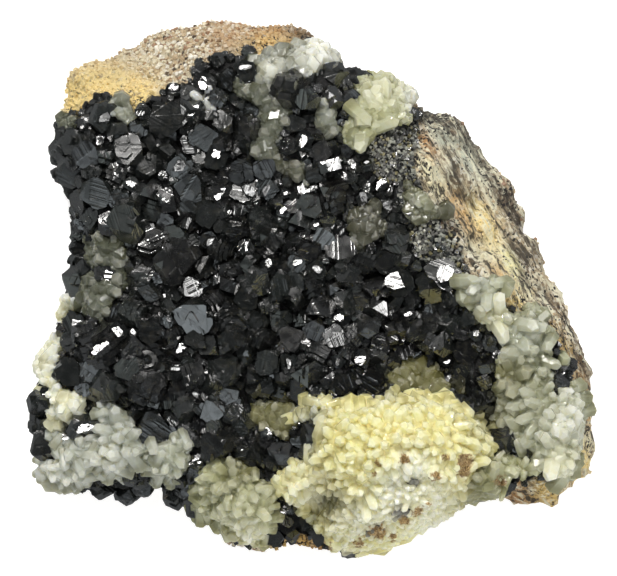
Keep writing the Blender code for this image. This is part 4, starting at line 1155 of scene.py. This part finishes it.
def quartz_material():
    """Milky to pale yellow quartz: glassy, with soft light inside, paler at the points, partly its own paler
    tips and partly painted light, darker at the crystals' feet by painted shade, rusty in places.
    """
    nodes = Nodes("quartz_looks")
    place = nodes.place()
    local = nodes.attribute("crystal_place", "Vector")
    tint = nodes.attribute("crystal_tint", "Color")
    tone = nodes.attribute("crystal_tone", "Fac")
    up = nodes.height_of(local)
    cloud = nodes.noise(1500.0, 5.0, place)
    fine = nodes.noise(5000.0, 2.0, place)
    pale = nodes.mix(0.35, tint, (0.99, 0.98, 0.93))
    # Paler towards the points: partly the quartz's own paler tips, partly painted light where the points stand
    # up out of the shade
    base = nodes.mix(nodes.ramp(up, 0.5, 2.5, 0.0, 0.7), tint, pale)
    base = nodes.mix(nodes.ramp(tone, 0.0, 1.0, 0.0, 0.4), base, pale)
    base = nodes.mix(nodes.ramp(cloud, 0.35, 0.65, 0.25, 0.0), base, (0.75, 0.70, 0.42), "MULTIPLY")
    base = nodes.mix(nodes.ramp(fine, 0.58, 0.72, 0.0, 0.3), base, pale)
    # Painted shade: darker at the crystals' feet and in the mass between them, where shade falls
    base = nodes.mix(nodes.ramp(up, 0.9, 0.0, 0.0, 0.55), base, (0.42, 0.40, 0.26), "MULTIPLY")
    rust = nodes.mix(nodes.ramp(fine, 0.35, 0.65), (0.20, 0.12, 0.06), (0.60, 0.45, 0.23))
    stain = nodes.times(nodes.attribute("crystal_stain", "Fac"), 0.9)
    spots = nodes.clamped(nodes.times(nodes.minus(stain, nodes.noise(1100.0, 5.0, place)), 7.0))
    relief = nodes.plus(cloud, nodes.noise(2.5, 2.0, local))
    nodes.set(Base_Color=nodes.mix(spots, base, rust), IOR=1.544, Normal=nodes.bump(relief, 0.15, 0.0003),
              Roughness=nodes.ramp(cloud, 0.3, 0.7, 0.05, 0.22),
              Transmission_Weight=nodes.attribute("crystal_tint", "Alpha"), Subsurface_Weight=1.0,
              Subsurface_Radius=(1.0, 0.95, 0.8), Subsurface_Scale=0.0014)
    return nodes.material


# A stain on the streaked rock is drawn along the streaks: its width's factors along them and across
STAIN_DRAWN = (0.6, 1.4)


def stains_at(points):
    """The stain's colour at each point, and its strength as the alpha."""
    stain = np.zeros((len(points), 4))
    along, across = points @ np.array(STREAK_ALONG), points @ np.array(STREAK_ACROSS)
    for x, y, radius, strength, colour in STAINS:
        away = (points[:, 0] - x) ** 2 + (points[:, 1] - y) ** 2
        if x > STREAKED_FROM:
            away = (STAIN_DRAWN[0] * (along - np.dot(STREAK_ALONG[:2], (x, y)))) ** 2
            away += (STAIN_DRAWN[1] * (across - np.dot(STREAK_ACROSS[:2], (x, y)))) ** 2
        near = strength * np.exp(-away / radius**2)
        stain[:, :3] += near[:, None] * ROCK_COLOURS[colour]
        stain[:, 3] += near
    stain[:, :3] /= np.maximum(stain[:, 3:], 1e-3)
    stain[:, 3] = np.clip(stain[:, 3], 0, 1.2)
    return stain


# The share of dark specks everywhere, and what each step away from the main crust adds to it
SPECKS_EVERYWHERE = 0.07
SPECKS_BESIDE = 0.22
SPECK_STEPS = (1.0, 2.5, 4.5)


def speck_share(surface):
    """How common dark specks of ore are at each point."""
    share = np.full(len(surface.points), SPECKS_EVERYWHERE)
    for x, y, radius, strength in SPECKS:
        share += strength * nearness(surface.points, x, y, radius)
    for distance in SPECK_STEPS:
        beside = surface.points[:, :2] - distance * SPECK_SIDE
        share += SPECKS_BESIDE * inside(FIELD, beside[:, 0], beside[:, 1])
    return share


def make_rock(surface):
    mesh = bpy.data.meshes.new("rock_surface")
    mesh.from_pydata((surface.points * MM).tolist(), [], surface.faces)
    mesh.shade_smooth()
    pale = surface.pale()
    tints = np.array([QUARTZ_COLOURS[QUARTZ_MAIN.get(name, "dull")] for name in CRUSTS])
    add_attribute(mesh, "stain", "FLOAT_COLOR", stains_at(surface.points))
    add_attribute(mesh, "speck", "FLOAT", speck_share(surface))
    add_attribute(mesh, "streaked", "FLOAT", streak_share(surface.points))
    add_attribute(mesh, "dark_crust", "FLOAT", (surface.owner >= 0) & ~pale)
    add_attribute(mesh, "pale_crust", "FLOAT", pale)
    add_attribute(mesh, "crust_tint", "FLOAT_COLOR", tints[surface.owner] * 0.9)
    finish_piece("rock_surface", mesh, "matrix_rock", rock_material())


# The rock's grains: colours and how common they are, radii, and how many are tried on the top and the walls
GRAIN_COLOURS = [
    ((0.76, 0.70, 0.54), 5), ((0.56, 0.44, 0.29), 5), ((0.86, 0.83, 0.74), 3), ((0.38, 0.24, 0.15), 2),
    ((0.08, 0.06, 0.045), 1),
]
GRAIN_RADII = (0.22, 0.42)
GRAIN_TRIES = (6000, 8000)
GRAIN_FORMS = 12

# The grains mixed with the fine ore: the same, and how far they stand out
MIXED_COLOURS = [
    ((0.15, 0.15, 0.14), 6), ((0.32, 0.33, 0.29), 4), ((0.62, 0.62, 0.56), 1), ((0.24, 0.22, 0.12), 2),
]
MIXED_RADII = (0.14, 0.34)
MIXED_TRIES = 1500
MIXED_RISE = (0.0, 0.4)


def chip_form(dice):
    planes = [(way, 0.8) for way in ((1, 0, 0), (-1, 0, 0), (0, 1, 0), (0, -1, 0), (0, 0, 1), (0, 0, -1))]
    return convex_form(uneven(planes + [((1, 1, 1), 0.9)], dice, 0.25), (0, 0, 1))


def any_colour(colours, dice):
    return np.array(dice.choices([colour for colour, _ in colours], [share for _, share in colours])[0])


def add_grain(growth, chips, place, radius, normal, tint, dice):
    growth.add(dice.choice(chips), place, radius, upright_on(normal, 60, dice), dice.random(), (*tint, 1))


def mix_grains(growth, surface, chips, dice):
    """Pale grains between the fine ore."""
    x, y = surface.points[:, 0], surface.points[:, 1]
    near = np.any([np.hypot(x - cx, y - cy) < radius for cx, cy, radius in MIXED_ZONES], axis=0)
    places = np.flatnonzero(near & (surface.owner == CRUSTS.index("sphalerite_field"))).tolist()
    crowd = Crowd(1.0)
    for pick in dice.choices(places, k=MIXED_TRIES):
        radius = dice.uniform(*MIXED_RADII)
        place = surface.points[pick] + surface.normals[pick] * dice.uniform(*MIXED_RISE)
        if crowd.free(place, radius, 0.7):
            crowd.add(place, radius)
            tint = any_colour(MIXED_COLOURS, dice)
            add_grain(growth, chips, place, radius, surface.normals[pick], tint, dice)


def make_grains(surface):
    """Grains that stand out of the bare rock, and those between the fine ore."""
    dice = random.Random(5)
    chips = [chip_form(dice) for _ in range(GRAIN_FORMS)]
    bare = surface.owner < 0
    seen = np.flatnonzero(bare & (surface.normals[:, 2] > 0.25) & (surface.points[:, 2] > 8)).tolist()
    walls = np.flatnonzero(bare & (surface.normals[:, 2] <= 0.25) & (surface.points[:, 2] > 1)).tolist()
    stain = stains_at(surface.points)
    streaked = streak_share(surface.points)
    growth = Growth()
    crowd = Crowd(1.0)
    for places, tries in zip((seen, walls), GRAIN_TRIES):
        for pick in dice.choices(places, k=tries):
            radius = dice.uniform(*GRAIN_RADII)
            place = surface.points[pick]
            if not crowd.free(place, radius, 0.8) or dice.random() < 0.95 * streaked[pick]:
                continue
            crowd.add(place, radius)
            tint = any_colour(GRAIN_COLOURS, dice)
            tint = tint + (stain[pick, :3] - tint) * min(0.85, stain[pick, 3])
            add_grain(growth, chips, place, radius, surface.normals[pick], tint, dice)
    mix_grains(growth, surface, chips, dice)
    growth.make("rock_grains", "matrix_rock", "rock", grain_material())


def surface_at(surface, x, y):
    """The place on the upper surface above a point of the plan."""
    away = np.hypot(surface.points[:, 0] - x, surface.points[:, 1] - y)
    nearest = int(np.argmin(away + np.where(surface.normals[:, 2] < 0.05, 5, 0)))
    return np.array([x, y, surface.points[nearest, 2]])


def owner_of(x, y):
    for name in CRUSTS:
        if crust_covers(name, np.array([x]), np.array([y]))[0]:
            return name
    return "sphalerite_field"


def limit_at(zones, place):
    """The largest crystal radius that the zones allow at a place."""
    limits = [largest for x, y, radius, largest in zones if math.hypot(place[0] - x, place[1] - y) < radius]
    return min(limits, default=math.inf)


# How far the specimen reaches in each direction, in steps of half a degree
HALF_DEGREES = np.arange(720) / 2
REACHES = outline_reach(HALF_DEGREES) + shoulder(HALF_DEGREES)[2] + swell(HALF_DEGREES)


def within(place, spare):
    """Whether a place is inside the specimen's outline, seen from above, or less than a spare past it."""
    degrees = math.degrees(math.atan2(place[1], place[0])) % 360
    return math.hypot(place[0], place[1]) < REACHES[int(degrees * 2) % len(REACHES)] + spare


def rim_margin(place):
    """How far past the outline a crystal may reach, less than nothing where the rim is bare."""
    return -BARE_OF_CRYSTALS if rim_is_bare(bearing(place[0], place[1])) else RIM_REACH


# The fill between the crystals that the photograph shows: radius, tries for each point, and how close it is
SPHALERITE_FILL = [
    (2.5, 0.12, 0.62), (1.8, 0.2, 0.64), (1.3, 0.25, 0.66), (0.85, 0.3, 0.70), (0.5, 0.25, 0.80),
]

# The share of the small fill crystals that mirror a light, and that share in the fine ore
LIT_SHARE = 0.13
LIT_SHARE_FINE = 0.4

# A crystal that mirrors a light is topped by a flat one: how high that stands and how large it is, in radii
# of the crystal below, and its largest radius
TOP_RISE = 0.62
TOP_SHARE = 0.6
TOP_LARGEST = 2.2


class Sphalerite:
    """The black crystals: those that the photograph shows, and the fill between them."""

    def __init__(self, surface):
        self.surface = surface
        self.dice = random.Random(11)
        self.groups, self.pairs = sphalerite_forms(self.dice)
        self.growths = {name: Growth() for name in CRUSTS if name not in QUARTZ}
        self.small = Growth()
        self.crowd = Crowd(4.0)

    def add_shown(self):
        dice = self.dice
        for x, y, radius, form, facing in SPHALERITE_SHOWN:
            place = surface_at(self.surface, x, y) + np.array([0, 0, 0.3 * radius])
            growth = self.growths.get(owner_of(x, y), self.growths["sphalerite_field"])
            shines = facing in ("bright", "silver")
            turned = shines or facing == "black"
            lean, toward = (dice.uniform(5, 22), dice.uniform(130, 340)) if turned else FACINGS[facing]
            body = aim(lean + dice.uniform(-3, 3), toward, dice.uniform(0, 360))
            growth.add(dice.choice(self.groups[form]), place, radius, body, dice.random())
            if shines:
                self.add_top(growth, place, radius, form, facing)
            self.crowd.add(place, radius)

    def add_top(self, growth, place, radius, form, facing):
        """A flat crystal on top of a shown one, turned to mirror a light."""
        dice = self.dice
        above = place + np.array([dice.uniform(-0.2, 0.2), dice.uniform(-0.2, 0.2), TOP_RISE]) * radius
        variants = self.pairs["plate" if form == "block" else form]
        flat = stretched(dice.choice(variants), dice.uniform(0.45, 0.9))
        size = min(radius * TOP_SHARE, TOP_LARGEST)
        growth.add(flat, above, size, facing_light(facing, 3, dice), dice.random())

    def add_fill(self, name, edges):
        """Ever smaller crystals in the room that is left on a crust."""
        covered = np.flatnonzero(self.surface.owner == CRUSTS.index(name))
        away = nearest_edge(edges, self.surface.points[covered][:, :2])[0]
        for radius, share, closeness in SPHALERITE_FILL:
            tries = int(share * len(covered)) + 20 if len(covered) else 0
            for row in self.dice.choices(range(len(covered)), k=tries):
                self.try_filler(name, covered[row], away[row], radius, closeness)

    def try_filler(self, name, pick, away, radius, closeness):
        dice = self.dice
        place, normal = self.surface.points[pick], self.surface.normals[pick]
        size = min(radius * dice.uniform(0.85, 1.15), 0.6 + 0.8 * away)
        largest = limit_at(FINE_ZONES, place)
        if size > largest or not self.crowd.free(place, size, closeness):
            return
        centre = place + normal * size * dice.uniform(0.1, 0.5)
        if not within(centre, -size):
            return
        self.crowd.add(place, size)
        kind = dice.choice(["block" if size > 1 else "wedge", "wedge", "plate", "plate", "lamellar"])
        rotation = upright_on(normal, 80, dice)
        if size < 1.6 and dice.random() < (LIT_SHARE_FINE if largest < 1 else LIT_SHARE):
            rotation = facing_light(dice.choice(("bright", "silver", "slate")), 7, dice)
        forms = self.groups if radius > 1.2 else self.pairs
        growth = self.small if radius < 1.2 and name == "sphalerite_field" else self.growths[name]
        growth.add(dice.choice(forms[kind]), centre, size, rotation, dice.random() + 0.4 * (size < 0.8))

    def make(self):
        material = sphalerite_material()
        for name, growth in self.growths.items():
            growth.make(name + "_crystals", name, "sphalerite", material)
        self.small.make("sphalerite_field_small_crystals", "sphalerite_field", "sphalerite", material)


def make_sphalerite(surface):
    ore = Sphalerite(surface)
    ore.add_shown()
    edges = edges_of([FIELD, *itertools.chain(*QUARTZ.values())])
    for name in ore.growths:
        ore.add_fill(name, edges)
    ore.make()


def tuft_centres(surface, covered, spacing, dice):
    """Places from which the crystals of a druse fan out."""
    crowd = Crowd(spacing)
    centres = []
    for pick in dice.choices(covered, k=len(covered)):
        place = surface.points[pick]
        if crowd.free(place, spacing / 2, 1.0):
            crowd.add(place, spacing / 2)
            centres.append(place)
    return np.array(centres)


# Sizes in a druse: the largest and smallest radius, the distance between its tufts, and the crystals' rise
QUARTZ_GRAIN = {
    "quartz_druse_lower_centre": (1.0, 0.6, 7.0, 0.5), "quartz_druse_lower_left": (1.1, 0.65, 7.0, 0.5),
    "quartz_druse_left_edge": (1.2, 0.7, 5.0, 0.5), "quartz_druse_lower_middle": (1.1, 0.6, 7.0, 0.4),
    "quartz_druse_left_middle": (1.2, 0.7, 4.0, -0.3), "quartz_druse_middle": (1.0, 0.6, 3.0, -0.9),
    "quartz_druse_right": (1.3, 0.7, 6.0, 0.3), "quartz_druse_top": (1.1, 0.6, 4.0, -0.9),
    "quartz_druse_top_right": (1.3, 0.7, 5.0, -0.2), "quartz_druse_above_centre": (1.0, 0.6, 4.0, -0.6),
    "quartz_druse_hollow": (1.0, 0.6, 4.0, -0.6),
}
QUARTZ_GRAIN_ELSEWHERE = (1.0, 0.55, 5.0, 0.4)
QUARTZ_CLOSENESS = 0.60
QUARTZ_LENGTH = 2.9

# The mass that the crystals grow from: its lumps' radius and depth
LUMP_RADIUS = 1.4
LUMP_DEPTH = 0.2

# A druse's crystals get smaller in steps: their number, the tries for each point at first, and more each step
QUARTZ_STEPS = 5
QUARTZ_TRIES = 0.3
QUARTZ_MORE_TRIES = 0.35

# How far the crystals of a tuft fan out, and how much each strays from that, in degrees
FAN = 2.3
STRAY = 30
EDGE_STRAY = 15

# Near a druse's edge the crystals lean out of it: the least distance from the edge as a share of the radius,
# the width of that zone, the lean there, how far they reach past it, and how much wider apart they stand
EDGE_ROOM = 0.5
LEANING_WIDTH = 3.5
EDGE_LEAN = 2.0
EDGE_REACH = 0.5
EDGE_SPARE = 0.25
HIGHEST = 39.9

# The grid on which a druse's outer surface is traced, and the share of its triangles that is kept
QUARTZ_GRID = 0.13
QUARTZ_SHARE = 0.2


def quartz_tint(name, place):
    """The quartz's colour at a place: the druse's own, changed by the shades that are near, among them the
    painted olive shade of hollows.
    """
    tint = np.array(QUARTZ_COLOURS[QUARTZ_MAIN[name]])
    for x, y, radius, strength, colour in QUARTZ_SHADES:
        share = min(1.0, strength * math.exp(-((place[0] - x) ** 2 + (place[1] - y) ** 2) / radius**2))
        tint = tint + (np.array(QUARTZ_COLOURS[colour]) - tint) * share
    return tint


def grow_mass(growth, surface, covered, away, name, dice):
    """Rounded quartz under the crystals of a druse, so that they grow from one mass."""
    lump = convex_form([(way, 1.0) for way in RHOMBIC], (0, 0, 1))
    crowd = Crowd(3.0)
    for number in dice.sample(range(len(covered)), k=len(covered)):
        place, normal = surface.points[covered[number]], surface.normals[covered[number]]
        radius = min(LUMP_RADIUS, away[number] + 0.2)
        if radius > 0.4 and crowd.free(place, radius, 0.36):
            crowd.add(place, radius)
            rotation = upright_on(normal, 80, dice)
            growth.add(lump, place - normal * LUMP_DEPTH, radius, rotation, 0.0, quartz_tint(name, place))


def grow_druse(growth, surface, name, forms, dice):
    """The crystals of a druse, which fan out from their tufts and lean out at its edge."""
    covered = np.flatnonzero(surface.owner == CRUSTS.index(name))
    edges = edges_of(QUARTZ[name])
    away, toward = nearest_edge(edges, surface.points[covered][:, :2])
    grow_mass(growth, surface, covered, away, name, dice)
    largest, smallest, spacing, rise = QUARTZ_GRAIN.get(name, QUARTZ_GRAIN_ELSEWHERE)
    centres = tuft_centres(surface, covered, spacing, dice)
    crowd = Crowd(2.0)
    for step in range(QUARTZ_STEPS):
        radius = largest + (smallest - largest) * step / (QUARTZ_STEPS - 1)
        tries = int(len(covered) * (QUARTZ_TRIES + QUARTZ_MORE_TRIES * step)) + 30
        for number in dice.choices(range(len(covered)), k=tries):
            place, normal = surface.points[covered[number]], surface.normals[covered[number]]
            size = min(radius, limit_at(QUARTZ_FINE, place)) * dice.uniform(0.85, 1.15)
            leaning = max(0.0, 1 - away[number] / LEANING_WIDTH)
            closeness = QUARTZ_CLOSENESS + EDGE_SPARE * leaning
            if away[number] < EDGE_ROOM * size or not crowd.free(place, size, closeness):
                continue
            apart = place - centres
            fan = apart[np.argmin((apart**2).sum(axis=1))] / spacing
            lean = toward[number] * EDGE_LEAN * leaning
            outwards = normal + fan * FAN + np.array([*lean, 0.2])
            rotation = upright_on(outwards, STRAY + EDGE_STRAY * leaning, dice)
            base = place + normal * rise
            tip = base + np.array(rotation @ Vector((0, 0, 1))) * size * QUARTZ_LENGTH
            past = nearest_edge(edges, tip[None, :2])[0][0] > EDGE_REACH
            if past and not crust_covers(name, tip[:1], tip[1:2])[0]:
                continue
            if tip[2] > HIGHEST or not within(tip, rim_margin(tip)):
                continue
            crowd.add(place, size)
            growth.add(dice.choice(forms), base, size, rotation, dice.random(), quartz_tint(name, place))


def make_quartz(surface):
    dice = random.Random(23)
    forms = [quartz_form(dice) for _ in range(QUARTZ_VARIANTS)]
    material = quartz_material()
    for name in QUARTZ:
        growth = Growth()
        grow_druse(growth, surface, name, forms, dice)
        for x, y, radius, lean, toward, druse in QUARTZ_SHOWN:
            if druse == name:
                place = surface_at(surface, x, y) + np.array([0, 0, radius])
                growth.add(forms[0], place, radius, aim(lean, toward, 10), 0.9, quartz_tint(name, place))
        growth.make(name + "_crystals", name, "quartz", material, QUARTZ_GRID, QUARTZ_SHARE)


# The stage: a camera that looks straight down, a pale floor and soft lights, in metres and degrees
PICTURE_SIZE = (617, 576)
PIXELS_PER_MM = 6.0
SHARP_PLANE = 0.024
CAMERA_HEIGHT = 0.9
SENSOR = 36.0
LIGHT_DISTANCE = 0.6

# Each light's lean from the vertical, the direction that it stands in, its size, power and colour, and
# whether the crystals mirror it
LIGHTS = {
    "key_light": (40, 110, 0.15, 7.5, (1.0, 0.98, 0.95), True),
    "side_light": (50, 20, 0.28, 2.4, (1.0, 0.99, 0.98), True),
    "fill_light": (34, 250, 0.32, 0.45, (0.86, 0.95, 1.0), True),
    "left_panel": (52, 185, 0.45, 0.35, (0.88, 1.0, 0.96), True),
    "low_panel": (50, 290, 0.50, 3.6, (1.0, 0.99, 0.95), False),
    "sky_panel": (12, 80, 0.60, 2.6, (1.0, 1.0, 0.99), False),
}


def make_camera():
    data = bpy.data.cameras.new("camera")
    data.sensor_width = SENSOR
    width = PICTURE_SIZE[0] / PIXELS_PER_MM * MM
    data.lens = SENSOR * (CAMERA_HEIGHT - SHARP_PLANE) / width
    camera = bpy.data.objects.new("camera", data)
    camera.location = (0.5 / PIXELS_PER_MM * MM, 0, CAMERA_HEIGHT)
    bpy.context.scene.collection.objects.link(camera)
    bpy.context.scene.camera = camera


def soften(data):
    """Makes a light fade from its middle to its sides, so that a face that mirrors it isn't evenly bright."""
    data.use_nodes = True
    tree = data.node_tree
    spot = tree.nodes.new("ShaderNodeNewGeometry").outputs["Parametric"]
    apart = tree.nodes.new("ShaderNodeVectorMath")
    apart.operation = "DISTANCE"
    apart.inputs[1].default_value = (0.5, 0.5, 0.0)
    fade = tree.nodes.new("ShaderNodeMapRange")
    fade.interpolation_type = "SMOOTHSTEP"
    for name, value in (("From Min", 0.0), ("From Max", 0.6), ("To Min", 1.0), ("To Max", 0.0)):
        fade.inputs[name].default_value = value
    tree.links.new(spot, apart.inputs[0])
    tree.links.new(apart.outputs["Value"], fade.inputs["Value"])
    tree.links.new(fade.outputs[0], tree.nodes["Emission"].inputs["Strength"])


def make_lights():
    for name, (lean, toward, size, power, colour, mirrored) in LIGHTS.items():
        data = bpy.data.lights.new(name, "AREA")
        data.size = size
        data.energy = power
        data.color = colour
        soften(data)
        light = bpy.data.objects.new(name, data)
        light.visible_glossy = mirrored
        turn = aim(lean, toward, 0)
        light.matrix_world = Matrix.Translation(turn @ Vector((0, 0, LIGHT_DISTANCE))) @ turn.to_4x4()
        bpy.context.scene.collection.objects.link(light)


# What surrounds the specimen: at the horizon and below it, a third of the way up, and straight above
WORLD_COLOURS = ((0.22, 0.23, 0.235, 1), (0.065, 0.068, 0.070, 1), (0.010, 0.010, 0.011, 1))

# The floor, with a faint glow of its own so that it stays nearly white
FLOOR_SIZE = 3
FLOOR_LEVEL = -0.0002
FLOOR_GLOW = 0.75


def make_world():
    world = bpy.data.worlds.new("studio")
    world.use_nodes = True
    tree = world.node_tree
    place = tree.nodes.new("ShaderNodeTexCoord")
    split = tree.nodes.new("ShaderNodeSeparateXYZ")
    ramp = tree.nodes.new("ShaderNodeValToRGB")
    tree.links.new(place.outputs["Generated"], split.inputs[0])
    tree.links.new(split.outputs["Z"], ramp.inputs[0])
    tree.links.new(ramp.outputs[0], tree.nodes["Background"].inputs[0])
    ramp.color_ramp.elements.new(0.5)
    for element, colour in zip(ramp.color_ramp.elements, WORLD_COLOURS):
        element.color = colour
    bpy.context.scene.world = world
    bpy.context.scene.view_settings.view_transform = "Standard"


def make_floor():
    bpy.ops.mesh.primitive_plane_add(size=FLOOR_SIZE, location=(0, 0, FLOOR_LEVEL))
    floor = bpy.context.object
    floor.name = "floor"
    floor.visible_glossy = False
    nodes = Nodes("floor_looks")
    tone = nodes.noise(6.0, 2.0, nodes.place())
    nodes.set(Base_Color=nodes.mix(tone, (0.60, 0.60, 0.60), (0.63, 0.63, 0.63)), Roughness=0.8,
              Emission_Color=(1, 1, 1), Emission_Strength=FLOOR_GLOW)
    floor.data.materials.append(nodes.material)


def main():
    surface = Surface()
    make_rock(surface)
    make_grains(surface)
    make_sphalerite(surface)
    make_quartz(surface)
    make_camera()
    make_lights()
    make_world()
    make_floor()


main()
